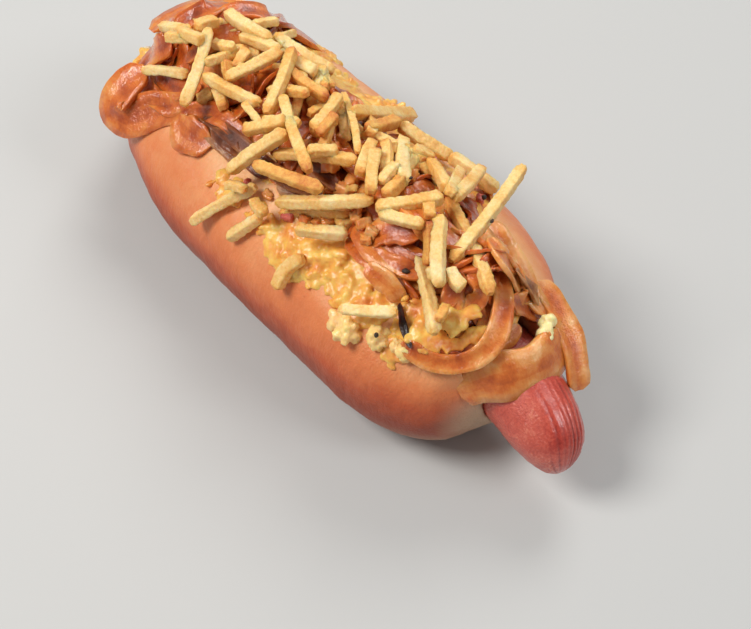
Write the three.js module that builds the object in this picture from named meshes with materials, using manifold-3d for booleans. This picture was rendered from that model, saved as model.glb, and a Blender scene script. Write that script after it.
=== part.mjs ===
// A hot dog: a soft milk bun split along its top, a frankfurter in the split with its gathered tip out past
// the bun, melted cheese over the split's lips, a bed of caramelised onions with the larger slices lying over
// it, and a tangle of fried potato sticks on top.
//
// Millimetres. X runs along the bun towards the sausage's bare tip, Y runs across it and Z is up. The origin
// is the middle of the flat patch that the bun rests on.
import * as THREE from "three";
import { mergeVertices } from "three/addons/utils/BufferGeometryUtils.js";
import Module from "manifold-3d";

const wasm = await Module();
wasm.setup();

// The bun. Its section is a superellipse about the line where the bun is widest.
const BUN_LENGTH = 174;
const BUN_HALF_WIDTH = 38;
const BUN_WAIST_HEIGHT = 20;
const BUN_CROWN = 29;
const BUN_BELLY = 24;
const SECTION_POWER = 2.222;
const END_POWER = { far: 3, near: 4 };
const BUN_WAVES = [
  { side: 1, at: 48, spread: 34, out: 2.5 },
  { side: -1, at: -22, spread: 24, out: 1.2 },
  { side: -1, at: 38, spread: 26, out: -1.6 },
];

// The split, from the sausage's seat up to the lips that roll outwards.
const SEAT_HEIGHT = 26;
const SEAT_RADIUS = 12.2;
const WALL_HALF_GAP = 13;
const WALL_TOP = 37;
const LIP_HEIGHT = 46.8;
const LIP_HALF_WIDTH = 20;

// The sausage, along a gentle bend, with a gathered casing at each end.
const SAUSAGE_DIAMETER = 23.4;
const SAUSAGE_TIP_DIAMETER = 20.8;
const SAUSAGE_CAP = 16;
const SAUSAGE_PLEATS = 9;
const PLEAT_DEPTH = 0.7;
const PLEAT_REACH = 6;
const SAUSAGE_AXIS = [
  [-86, -1, 24],
  [-60, 0, SEAT_HEIGHT],
  [0, 0, SEAT_HEIGHT],
  [60, 1.5, SEAT_HEIGHT],
  [84, 2.4, 25],
  [98, 1.6, 20],
  [106, -0.6, 13],
];

// The topping's layers. Each rises above the bun's own crown by its thickness at the middle, with lumps of a
// given height and grain.
const LAYER_FLOOR = 30;
const CHEESE = { from: -80, to: 77, halfWidth: 23, rise: 3.2, lump: 0.7, grain: 4.6, ragged: 2.2 };
const ONION_BED = { from: -77, to: 81, halfWidth: 18, rise: 6, lump: 1, grain: 5.2, ragged: 1.6 };
const POTATO_BED = { from: -68, to: 42, halfWidth: 14, rise: 7, lump: 0.6, grain: 6, ragged: 2 };
const CHEESE_SPILL = { at: 10, spread: 45, out: 4 };

// The larger onion slices, along the middle of each band.
const ONION_SLICES = {
  onion_front_loop: {
    width: 5.5,
    thickness: 3,
    steps: 18,
    path: [
      [61, -19, 45.5],
      [67.5, -21, 42.5],
      [73.5, -16.5, 41],
      [77.2, -8.5, 43],
      [76.3, -0.5, 46.5],
      [70.6, 6.3, 49.5],
      [62.3, 10.6, 52],
      [51.5, 13.8, 53],
    ],
  },
  onion_saddle: {
    width: 10.5,
    thickness: 3.2,
    path: [
      [78.6, -14.9, 32],
      [84.1, -8.9, 35.5],
      [87.1, -0.9, 37.2],
      [88.1, 7.1, 36],
      [85.6, 14.1, 33.5],
    ],
  },
  onion_side_upper: {
    width: 7,
    thickness: 2.4,
    path: [
      [50, 18.5, 49.5],
      [58, 16.5, 49],
      [66, 15, 47.5],
      [73, 15, 45],
      [78.5, 15.5, 40.5],
    ],
  },
  onion_side_lower: {
    width: 8,
    thickness: 2.6,
    path: [
      [69, 20.5, 43],
      [75.5, 20.5, 39],
      [81.5, 20, 35],
      [87.5, 18, 31],
      [92, 15.5, 26.5],
    ],
  },
  onion_far_fold: {
    width: 11.5,
    thickness: 3.4,
    path: [
      [-57, -23, 45],
      [-58, -30, 40.5],
      [-57, -35.5, 35.5],
      [-52, -34, 34.5],
      [-46, -28, 39],
      [-35, -22, 45.5],
    ],
  },
  onion_far_drape: {
    width: 12,
    thickness: 3,
    path: [
      [-73, -12, 43],
      [-72, 1, 45.5],
      [-66, 11, 46],
      [-57, 17, 45.5],
      [-46, 23, 43],
      [-38, 27, 40],
    ],
  },
  onion_flap: {
    width: 8,
    thickness: 2.6,
    path: [
      [-30, -21, 48.5],
      [-36, -27, 44.5],
      [-29, -31, 41],
      [-21, -29, 43],
    ],
  },
  onion_dark_strip: {
    width: 6.5,
    thickness: 2.6,
    path: [
      [-27, -22, 48.5],
      [-15, -21, 50.5],
      [-2, -20, 51],
      [10, -18.5, 51.5],
      [20, -15, 53],
    ],
  },
  onion_petal: {
    width: 10,
    thickness: 2.6,
    path: [
      [34, -14, 53],
      [42, -14, 53.2],
      [50, -12, 53.4],
      [58, -9, 53.4],
    ],
  },
};

// Lumps of cheese that squeezed out onto the bun: middle, height of the middle and size.
const CHEESE_LUMPS = {
  cheese_lump_large: { x: 50, y: -29, z: 38, size: [14, 9, 8] },
  cheese_lump_near: { x: 58.5, y: -25, z: 40, size: [8, 8, 7] },
  cheese_lump_small: { x: 65, y: -23, z: 40, size: [9, 6, 6] },
  cheese_lump_end: { x: 81, y: 12.5, z: 41, size: [10, 4.5, 4.5] },
};
const KNOB_SHARE = 0.16;

// The potato sticks: square cut and a little tapered. The tangle's sticks settle part of the way from where
// they would first bear towards the heap's mean height under them.
const STICK_THICKNESS = 3.3;
const STICK_LENGTHS = [17, 38];
const STICK_TAPER = 0.3;
const STICK_COUNT = 38;
const STICK_SPREAD = 17;
const STICK_SETTLING = 0.75;
const STICK_STEEPEST = 0.42;
const STRAY_STEEPEST = 1.5;
const STICK_BITE = 0.9;
const STICK_SEED = 11;
const GOLDEN_SHARE = 0.618;

// Sticks that fell clear of the tangle: middle, heading in degrees and length.
const STRAY_STICKS = {
  potato_stick_flank_far: { x: -4.6, y: -31, heading: 46, length: 26 },
  potato_stick_flank_mid: { x: 6.8, y: -31.5, heading: 53, length: 14 },
  potato_stick_flank_near: { x: 27, y: -30.5, heading: 72, length: 14, bend: 1.2 },
  potato_stick_cheese: { x: 52, y: -23.7, heading: 33, length: 17 },
  potato_stick_overhang: { x: 53, y: 14, heading: 106, length: 37, slope: 0.3 },
  potato_stick_front: { x: 63.5, y: -15, heading: -27, length: 23.5, slope: -0.13 },
};

// Faces that meet keep this gap.
const GAP = 0.3;

const clamp = (value, low, high) => Math.min(high, Math.max(low, value));
const bump = (x, { at, spread, out }) => out * Math.exp(-(((x - at) / spread) ** 2));
const signedPower = (value, power) => Math.sign(value) * Math.abs(value) ** power;
const curveThrough = (points) =>
  new THREE.CatmullRomCurve3(points.map((p) => new THREE.Vector3(...p)), false, "centripetal");

// A smooth unevenness between about -1 and 1, for outlines and lumps.
function unevenness(x, y, grain) {
  const a = x / grain;
  const b = y / grain;
  const slow = Math.sin(a + 1.3 * Math.sin(1.7 * b + 0.5));
  const quick = Math.sin(2.3 * b + 1.7 * Math.sin(1.9 * a + 2));
  return 0.6 * slow + 0.4 * quick;
}

function seededRandom(seed) {
  let state = seed;
  return () => {
    state = (state + 0x6d2b79f5) | 0;
    let mixed = Math.imul(state ^ (state >>> 15), 1 | state);
    mixed = (mixed + Math.imul(mixed ^ (mixed >>> 7), 61 | mixed)) ^ mixed;
    return ((mixed ^ (mixed >>> 14)) >>> 0) / 4294967296;
  };
}

// Moves every vertex of a closed geometry by a function of its place, and makes it a solid.
function reshapedSolid(geometry, place) {
  const position = geometry.getAttribute("position");
  const from = new THREE.Vector3();
  for (let i = 0; i < position.count; i += 1) {
    const to = place(from.fromBufferAttribute(position, i));
    position.setXYZ(i, to.x, to.y, to.z);
  }
  geometry.deleteAttribute("normal");
  geometry.deleteAttribute("uv");
  const merged = mergeVertices(geometry, 1e-4);
  const triVerts = new Uint32Array(merged.index.array);
  const vertProperties = merged.attributes.position.array;
  const made = new wasm.Manifold(new wasm.Mesh({ numProp: 3, vertProperties, triVerts }));
  if (made.volume() > 0) return made;
  for (let i = 0; i < triVerts.length; i += 3) {
    [triVerts[i + 1], triVerts[i + 2]] = [triVerts[i + 2], triVerts[i + 1]];
  }
  return new wasm.Manifold(new wasm.Mesh({ numProp: 3, vertProperties, triVerts }));
}

// What the cutters leave of a solid, without its loose scraps.
function without(made, ...cutters) {
  const cut = cutters.reduce((left, cutter) => left.subtract(cutter), made);
  return cut.decompose().reduce((best, next) => (next.volume() > best.volume() ? next : best));
}

function geometryOf(made) {
  const mesh = made.getMesh();
  const geometry = new THREE.BufferGeometry();
  geometry.setAttribute("position", new THREE.BufferAttribute(mesh.vertProperties, mesh.numProp));
  geometry.setIndex(new THREE.BufferAttribute(mesh.triVerts, 1));
  geometry.computeVertexNormals();
  return geometry;
}

// The bun's outside.
function endScale(x) {
  const share = clamp(Math.abs(2 * x) / BUN_LENGTH, 0, 1);
  return Math.sqrt(1 - share ** (x > 0 ? END_POWER.near : END_POWER.far));
}

function bunHalfWidth(x, side) {
  const waves = BUN_WAVES.filter((wave) => wave.side * side > 0);
  return waves.reduce((sum, wave) => sum + bump(x, wave), BUN_HALF_WIDTH) * endScale(x);
}

function bunTop(x, y) {
  const share = clamp(Math.abs(y) / (bunHalfWidth(x, y) + 1e-6), 0, 1);
  const crown = BUN_CROWN * endScale(x) ** 0.8;
  return BUN_WAIST_HEIGHT + crown * (1 - share ** SECTION_POWER) ** (1 / SECTION_POWER);
}

function wholeBun() {
  return reshapedSolid(new THREE.SphereGeometry(1, 32, 28), (p) => {
    const x = (BUN_LENGTH / 2) * p.y;
    const turn = Math.atan2(p.z, p.x);
    const across = signedPower(Math.sin(turn), 0.9);
    const up = signedPower(Math.cos(turn), 0.9);
    const reach = (up > 0 ? BUN_CROWN : BUN_BELLY) * endScale(x) ** 0.8;
    return new THREE.Vector3(
      x,
      bunHalfWidth(x, across) * across,
      Math.max(BUN_WAIST_HEIGHT + reach * up, 0),
    );
  });
}

function split() {
  const shape = new THREE.Shape();
  shape.moveTo(-BUN_HALF_WIDTH, 2 * LIP_HEIGHT);
  shape.lineTo(-BUN_HALF_WIDTH, LIP_HEIGHT + 0.4);
  shape.lineTo(-LIP_HALF_WIDTH, LIP_HEIGHT);
  const lip = [WALL_HALF_GAP + 1.5, LIP_HEIGHT - 1.3, WALL_HALF_GAP + 0.4, WALL_TOP + 5];
  shape.bezierCurveTo(-lip[0], lip[1], -lip[2], lip[3], -WALL_HALF_GAP, WALL_TOP);
  shape.lineTo(-SEAT_RADIUS, SEAT_HEIGHT);
  shape.absarc(0, SEAT_HEIGHT, SEAT_RADIUS, Math.PI, 2 * Math.PI, false);
  shape.lineTo(WALL_HALF_GAP, WALL_TOP);
  shape.bezierCurveTo(lip[2], lip[3], lip[0], lip[1], LIP_HALF_WIDTH, LIP_HEIGHT);
  shape.lineTo(BUN_HALF_WIDTH, LIP_HEIGHT + 0.4);
  shape.lineTo(BUN_HALF_WIDTH, 2 * LIP_HEIGHT);
  const depth = BUN_LENGTH + 20;
  const geometry = new THREE.ExtrudeGeometry(shape, { depth, bevelEnabled: false, curveSegments: 9 });
  return reshapedSolid(geometry, (p) => new THREE.Vector3(p.z - depth / 2, p.x, p.y));
}

// The sausage, from one gathered end to the other.
function sausageSolid(grow) {
  const axis = curveThrough(SAUSAGE_AXIS);
  const length = axis.getLength() + 2 * grow;
  const capRows = 0.3;
  const up = new THREE.Vector3(0, 0, 1);
  return reshapedSolid(new THREE.SphereGeometry(1, 4 * SAUSAGE_PLEATS, 18), (p) => {
    const row = Math.acos(clamp(p.y, -1, 1)) / Math.PI;
    const fromEnd = Math.min(row, 1 - row);
    const inCap = (clamp(fromEnd / capRows, 0, 1) * Math.PI) / 2;
    const straight = clamp((fromEnd - capRows) / (0.5 - capRows), 0, 1) * (length / 2 - SAUSAGE_CAP);
    const run = SAUSAGE_CAP * (1 - Math.cos(inCap)) + straight;
    const along = clamp((row < 0.5 ? run : length - run) / length, 0, 1);
    const slimming = THREE.MathUtils.smoothstep(along, 0.84, 0.94);
    const diameter = THREE.MathUtils.lerp(SAUSAGE_DIAMETER, SAUSAGE_TIP_DIAMETER, slimming);
    const turn = Math.atan2(p.z, p.x);
    const gather = Math.exp(-run / PLEAT_REACH) * clamp(2 * run, 0, 1);
    const pleat = PLEAT_DEPTH * gather * (Math.cos(SAUSAGE_PLEATS * turn) - 1);
    const radius = (diameter / 2 + grow) * Math.sin(inCap) ** 0.85 + pleat;
    const reach = fromEnd < 1e-3 ? 0 : Math.max(radius, 0.2);
    const tangent = axis.getTangentAt(along);
    const side = new THREE.Vector3().crossVectors(up, tangent).normalize();
    const lift = new THREE.Vector3().crossVectors(tangent, side);
    const centre = axis.getPointAt(along);
    centre.addScaledVector(side, reach * Math.cos(turn));
    return centre.addScaledVector(lift, reach * Math.sin(turn));
  });
}

// A layer of the topping: lumpy above, with an uneven outline, and flat below, where what it lies on cuts it.
function layerSolid(layer, spill, grow) {
  const middle = (layer.from + layer.to) / 2;
  const half = (layer.to - layer.from) / 2 + grow;
  return reshapedSolid(new THREE.BoxGeometry(1, 1, 1, 24, 8, 1), (p) => {
    const x = middle + half * Math.sin(p.x * Math.PI);
    const end = Math.sqrt(1 - Math.abs((x - middle) / half) ** 4);
    const side = Math.sign(p.y);
    const edge = layer.halfWidth + layer.ragged * unevenness(x, 17 * side, layer.grain);
    const outline = (edge + (side > 0 ? bump(x, spill) : 0)) * end + 1 + grow;
    const y = 2 * p.y * outline;
    const share = clamp(Math.abs(y) / (layer.halfWidth + 3), 0, 1);
    const mound = layer.rise * (0.35 + 0.65 * end) * (1 - share ** 2) ** 0.7;
    const lumps = layer.lump * (1 + unevenness(x, y, layer.grain));
    const top = Math.max(bunTop(x, y), LAYER_FLOOR + 1) + mound + lumps + grow;
    return new THREE.Vector3(x, y, p.z > 0 ? top : LAYER_FLOOR);
  });
}

// A limp slice of onion: a band of rounded section along its path, lying flat on the heap.
function sliceSolid({ path, width, thickness, steps = 11 }, grow) {
  const curve = curveThrough(path);
  const heart = new THREE.Vector3();
  return reshapedSolid(new THREE.CylinderGeometry(1, 1, 1, 8, steps), (p) => {
    const share = clamp(p.y + 0.5, 0, 1);
    const centre = curve.getPointAt(share);
    const tangent = curve.getTangentAt(share);
    heart.set(clamp(centre.x, -62, 66), 0, BUN_WAIST_HEIGHT);
    const side = centre.clone().sub(heart).cross(tangent).normalize().negate();
    const out = new THREE.Vector3().crossVectors(side, tangent);
    const turn = Math.atan2(p.z, p.x);
    const size = Math.hypot(p.x, p.z);
    const tip = Math.sqrt(1 - 0.75 * Math.abs(2 * share - 1) ** 6);
    const wave = 1 + 0.12 * Math.sin(9 * share + path[0][0]);
    const reach = size * ((width / 2) * tip * wave + grow);
    centre.addScaledVector(side, reach * signedPower(Math.cos(turn), 0.8));
    centre.addScaledVector(out, size * (thickness / 2 + grow) * Math.sin(turn));
    return centre.addScaledVector(tangent, (2 * share - 1) * grow);
  });
}

// A lump of cheese with knobs all over it.
function lumpSolid({ x, y, z, size }, grow) {
  return reshapedSolid(new THREE.SphereGeometry(1, 10, 6), (p) => {
    const knobs = 1 + KNOB_SHARE * Math.sin(4 * p.x + x) * Math.sin(5 * p.y + y);
    const reach = size.map((full) => (full / 2) * knobs + grow);
    return new THREE.Vector3(x + reach[0] * p.x, y + reach[1] * p.y, z + reach[2] * p.z);
  });
}

// A potato stick from the place of its underside's middle, its heading and its slope.
function stickSolid({ x, y, heading, length, thickness, middle, slope, bend = 0 }, lift) {
  const tilt = Math.atan(slope);
  return reshapedSolid(new THREE.BoxGeometry(1, 1, 1, bend ? 4 : 1, 1, 1), (p) => {
    const taper = 1 - STICK_TAPER * (2 * p.x) ** 2 * (p.x > 0 ? 1 : 0.4);
    const run = p.x * length;
    const across = p.y * thickness * taper + bend * (4 * p.x * p.x - 0.5);
    const up = (p.z * taper + 0.5) * thickness;
    const level = run * Math.cos(tilt) - up * Math.sin(tilt);
    return new THREE.Vector3(
      x + level * Math.cos(heading) - across * Math.sin(heading),
      y + level * Math.sin(heading) + across * Math.cos(heading),
      middle + lift + run * Math.sin(tilt) + up * Math.cos(tilt),
    );
  });
}

// Heights of what is already in place, for the sticks to come to rest on.
class Terrain {
  constructor(step = 0.75) {
    this.step = step;
    this.heights = new Map();
  }

  key(x, y) {
    return `${Math.round(x / this.step)},${Math.round(y / this.step)}`;
  }

  at(x, y) {
    return this.heights.get(this.key(x, y)) ?? 0;
  }

  stamp(made) {
    const mesh = made.getMesh();
    const corner = (n) => new THREE.Vector3().fromArray(mesh.vertProperties, n * mesh.numProp);
    for (let i = 0; i < mesh.triVerts.length; i += 3) {
      const [a, b, c] = [0, 1, 2].map((n) => corner(mesh.triVerts[i + n]));
      const longest = Math.max(a.distanceTo(b), b.distanceTo(c), c.distanceTo(a));
      const rows = Math.ceil(longest / (0.7 * this.step));
      for (let u = 0; u <= rows; u += 1) {
        for (let v = 0; v <= rows - u; v += 1) {
          const p = a.clone().lerp(b, u / rows);
          p.addScaledVector(c, v / rows).addScaledVector(a, -v / rows);
          if (p.z > this.at(p.x, p.y)) this.heights.set(this.key(p.x, p.y), p.z);
        }
      }
    }
  }

  // A straight stick dropped here bears on the two high points that its middle lies between.
  rest({ x, y, heading, length, thickness }, settling, steepest) {
    const [dx, dy] = [Math.cos(heading), Math.sin(heading)];
    const samples = [];
    for (let s = -length / 2; s <= length / 2; s += this.step) {
      const offsets = [-0.4, 0, 0.4].map((share) => share * thickness);
      const highs = offsets.map((w) => this.at(x + s * dx - w * dy, y + s * dy + w * dx));
      samples.push({ s, z: Math.max(...highs) });
    }
    let bearing = { middle: -Infinity, slope: 0 };
    for (const a of samples.filter((one) => one.s < -1)) {
      for (const b of samples.filter((one) => one.s > 1)) {
        const slope = (b.z - a.z) / (b.s - a.s);
        const middle = a.z - a.s * slope;
        if (middle > bearing.middle) bearing = { middle, slope };
      }
    }
    const level = samples.reduce((sum, one) => sum + one.z, 0) / samples.length;
    return {
      middle: THREE.MathUtils.lerp(bearing.middle, level, settling),
      slope: clamp(bearing.slope, -steepest, steepest),
    };
  }
}

// The bun and the sausage, with a slightly larger copy of each that keeps the gap to what lies on it.
const NO_SPILL = { at: 0, spread: 1, out: 0 };
const sausage = sausageSolid(0);
const sausageSpace = sausageSolid(GAP);
const bun = without(wholeBun(), split(), sausageSpace);
const bunSpace = [[0, GAP], [0, -GAP], [GAP, 0], [-GAP, 0]].reduce(
  (space, [dx, dy]) => space.add(bun.translate([dx, dy, 0])),
  bun.translate([0, 0, GAP]),
);

const cheese = without(layerSolid(CHEESE, CHEESE_SPILL, 0), bunSpace, sausageSpace);
const cheeseSpace = layerSolid(CHEESE, CHEESE_SPILL, GAP);

// The slices and lumps, each cut clear of those before it.
const pieces = {};
const pieceSpaces = [];
function layDown(name, make, piece) {
  pieces[name] = without(make(piece, 0), bunSpace, sausageSpace, cheeseSpace, ...pieceSpaces);
  pieceSpaces.push(make(piece, GAP));
}
Object.entries(ONION_SLICES).forEach(([name, slice]) => layDown(name, sliceSolid, slice));
Object.entries(CHEESE_LUMPS).forEach(([name, lump]) => layDown(name, lumpSolid, lump));

const onionGround = [bunSpace, sausageSpace, cheeseSpace, ...pieceSpaces];
const onionBed = without(layerSolid(ONION_BED, NO_SPILL, 0), ...onionGround);
const onionSpace = layerSolid(ONION_BED, NO_SPILL, GAP);
const potatoBed = layerSolid(POTATO_BED, NO_SPILL, 0);

const terrain = new Terrain();
[bun, sausage, cheese, onionBed, potatoBed].forEach((made) => terrain.stamp(made));
Object.values(pieces).forEach((made) => terrain.stamp(made));

// The tangle: sticks dropped one after another along the heap.
const random = seededRandom(STICK_SEED);
const between = (low, high) => low + (high - low) * random();
const tangle = [potatoBed];
for (let i = 0; i < STICK_COUNT; i += 1) {
  const x = POTATO_BED.from + (POTATO_BED.to - POTATO_BED.from) * ((i * GOLDEN_SHARE) % 1);
  const stick = {
    x,
    y: between(-1, 1) * STICK_SPREAD * (0.5 + 0.5 * endScale(x)),
    heading: between(0, Math.PI),
    length: between(...STICK_LENGTHS),
    thickness: STICK_THICKNESS * between(0.85, 1.1),
  };
  Object.assign(stick, terrain.rest(stick, STICK_SETTLING, STICK_STEEPEST));
  const made = stickSolid(stick, -STICK_BITE);
  terrain.stamp(made);
  tangle.push(made);
}

const ground = [...onionGround, onionSpace];
const strays = {};
const straySpaces = [];
for (const [name, stray] of Object.entries(STRAY_STICKS)) {
  const heading = THREE.MathUtils.degToRad(stray.heading);
  const placed = { ...stray, heading, thickness: STICK_THICKNESS };
  const stick = { ...terrain.rest(placed, 0, STRAY_STEEPEST), ...placed };
  strays[name] = without(stickSolid(stick, GAP), ...ground, ...straySpaces);
  const space = { ...stick, length: stick.length + 2 * GAP, thickness: stick.thickness + 2 * GAP };
  straySpaces.push(stickSolid(space, 0));
  terrain.stamp(strays[name]);
}
const potatoSticks = without(wasm.Manifold.union(tangle), ...ground, ...straySpaces);

// The scene graph.
const CRUST = { color: 0xd98a55, roughness: 0.55, metalness: 0 };
const CASING = { color: 0xd4645a, roughness: 0.35, metalness: 0 };
const MELTED = { color: 0xf0b95c, roughness: 0.4, metalness: 0 };
const CARAMEL = { color: 0xb35a2a, roughness: 0.2, metalness: 0 };
const FRIED = { color: 0xe8c57a, roughness: 0.6, metalness: 0 };

const hotDog = new THREE.Group();
function addMesh(name, made, look) {
  const mesh = new THREE.Mesh(geometryOf(made), new THREE.MeshStandardMaterial(look));
  mesh.name = name;
  hotDog.add(mesh);
}

addMesh("bun", bun, CRUST);
addMesh("sausage", sausage, CASING);
addMesh("melted_cheese", cheese, MELTED);
addMesh("onion_bed", onionBed, CARAMEL);
addMesh("potato_sticks", potatoSticks, FRIED);
Object.keys(ONION_SLICES).forEach((name) => addMesh(name, pieces[name], CARAMEL));
Object.keys(CHEESE_LUMPS).forEach((name) => addMesh(name, pieces[name], MELTED));
Object.entries(strays).forEach(([name, made]) => addMesh(name, made, FRIED));

export default hotDog;
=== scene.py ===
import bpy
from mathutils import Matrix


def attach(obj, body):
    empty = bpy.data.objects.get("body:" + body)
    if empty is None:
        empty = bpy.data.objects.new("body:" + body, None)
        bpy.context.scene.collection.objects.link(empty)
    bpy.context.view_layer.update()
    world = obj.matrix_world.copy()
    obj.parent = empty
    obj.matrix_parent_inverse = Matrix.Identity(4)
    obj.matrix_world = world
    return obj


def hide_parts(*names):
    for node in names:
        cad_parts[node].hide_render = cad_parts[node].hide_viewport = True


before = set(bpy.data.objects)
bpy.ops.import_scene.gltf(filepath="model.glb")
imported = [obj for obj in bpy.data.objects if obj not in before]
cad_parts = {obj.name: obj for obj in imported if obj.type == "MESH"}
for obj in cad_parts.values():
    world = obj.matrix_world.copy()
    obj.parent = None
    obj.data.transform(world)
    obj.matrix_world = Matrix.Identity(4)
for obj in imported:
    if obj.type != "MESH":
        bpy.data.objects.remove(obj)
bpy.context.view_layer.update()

import copy
import math
import random

import bmesh
import bpy
import numpy as np
from mathutils import Matrix, Vector, noise

MM = 0.001

# The camera, in the part's own frame.
CAMERA_AZIMUTH = math.radians(49.831)
CAMERA_ELEVATION = math.radians(52.305)
CAMERA_ROLL = math.radians(3.553)
CAMERA_PLACE = np.array([202.63, -148.09, 294.52])
CAMERA_LENS = 59.68
SENSOR_WIDTH = 36.0
PHOTO_WIDTH, PHOTO_HEIGHT = 751, 629

# The bun. Its section is a superellipse about the line where the bun is widest.
BUN_LENGTH = 174
BUN_HALF_WIDTH = 38
BUN_WAIST_HEIGHT = 20
BUN_CROWN = 29
BUN_BELLY = 24
SECTION_POWER = 2.222
END_POWER_FAR, END_POWER_NEAR = 3, 4
BUN_WAVES = [(1, 48, 34, 2.5), (-1, -22, 24, 1.2), (-1, 38, 26, -1.6)]

# The split in the bun.
SEAT_HEIGHT = 26
SEAT_RADIUS = 12.2
WALL_HALF_GAP = 13
WALL_TOP = 37
LIP_HEIGHT = 46.8
LIP_HALF_WIDTH = 20

# The walls of the split lean in over this reach, to hold the sausage with this gap.
HUG_REACH = 7.0
HUG_REACH_AT_END = 8.0
HUG_GAP = 0.15

# The sausage.
SAUSAGE_DIAMETER = 23.4
SAUSAGE_TIP_DIAMETER = 20.8
SAUSAGE_CAP = 16
SAUSAGE_AXIS = [
    (-86, -1, 24),
    (-60, 0, SEAT_HEIGHT),
    (0, 0, SEAT_HEIGHT),
    (60, 1.5, SEAT_HEIGHT),
    (84, 2.4, 25),
    (98, 1.6, 20),
    (106, -0.6, 13),
]


# ---- camera and light

def camera_axes():
    """Right, up and back of the camera as unit vectors."""
    a, e, roll = CAMERA_AZIMUTH, CAMERA_ELEVATION, CAMERA_ROLL
    back = np.array([math.sin(a) * math.cos(e), -math.cos(a) * math.cos(e), math.sin(e)])
    level = np.array([math.cos(a), math.sin(a), 0.0])
    rise = np.cross(back, level)
    right = math.cos(roll) * level + math.sin(roll) * rise
    up = -math.sin(roll) * level + math.cos(roll) * rise
    return right, up, back


RIGHT, UP, BACK = camera_axes()
FOCAL_PIXELS = CAMERA_LENS / SENSOR_WIDTH * PHOTO_WIDTH


def sight_line(u, v):
    """The direction of sight through a pixel of the photograph, per millimetre of height lost."""
    across = (u - PHOTO_WIDTH / 2) / FOCAL_PIXELS
    down = (v - PHOTO_HEIGHT / 2) / FOCAL_PIXELS
    line = across * RIGHT - down * UP - BACK
    return line / -line[2]


def at_height(u, v, z):
    """The point at a height that a pixel of the photograph shows."""
    return CAMERA_PLACE + sight_line(u, v) * (CAMERA_PLACE[2] - z)


def make_camera():
    data = bpy.data.cameras.new("camera")
    data.lens = CAMERA_LENS
    data.sensor_width = SENSOR_WIDTH
    camera = bpy.data.objects.new("camera", data)
    turn = Matrix([[RIGHT[i], UP[i], BACK[i]] for i in range(3)]).to_4x4()
    camera.matrix_world = Matrix.Translation(Vector(CAMERA_PLACE * MM)) @ turn
    bpy.context.scene.collection.objects.link(camera)
    bpy.context.scene.camera = camera


def make_light(name, place, aim, size, power, colour):
    data = bpy.data.lights.new(name, "AREA")
    data.shape = "DISK"
    data.size = size
    data.energy = power
    data.color = colour
    lamp = bpy.data.objects.new(name, data)
    lamp.location = place
    lamp.rotation_euler = (Vector(aim) - Vector(place)).to_track_quat("-Z", "Y").to_euler()
    bpy.context.scene.collection.objects.link(lamp)


# ---- materials

def linear(hex_colour):
    """An sRGB hex colour as linear RGBA."""
    parts = [int(hex_colour[i : i + 2], 16) / 255 for i in (1, 3, 5)]
    return [c / 12.92 if c <= 0.04045 else ((c + 0.055) / 1.055) ** 2.4 for c in parts] + [1.0]


def add(tree, kind, settings=None, links=None):
    """Adds a node with its settings, and sets or links its inputs. A ramp's stops are (place, colour)."""
    made = tree.nodes.new(kind)
    for key, value in (settings or {}).items():
        if key != "stops":
            setattr(made, key, value)
            continue
        ramp = made.color_ramp
        while len(ramp.elements) < len(value):
            ramp.elements.new(0.5)
        for element, (place, colour) in zip(ramp.elements, value):
            element.position = place
            element.color = linear(colour)
    for key, value in (links or {}).items():
        if isinstance(value, bpy.types.NodeSocket):
            tree.links.new(value, made.inputs[key])
        else:
            made.inputs[key].default_value = value
    return made


def new_material(name):
    material = bpy.data.materials.new(name)
    material.use_nodes = True
    material.node_tree.nodes.clear()
    return material, material.node_tree


def finish_material(tree, shader):
    add(tree, "ShaderNodeOutputMaterial", links={"Surface": shader.outputs[0]})


def floor_material():
    """Matt pale board: only carries the soft shadow."""
    material, tree = new_material("matt_board")
    shader = add(
        tree,
        "ShaderNodeBsdfPrincipled",
        links={"Base Color": linear("#bfbfbd"), "Roughness": 0.9},
    )
    finish_material(tree, shader)
    return material


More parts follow.
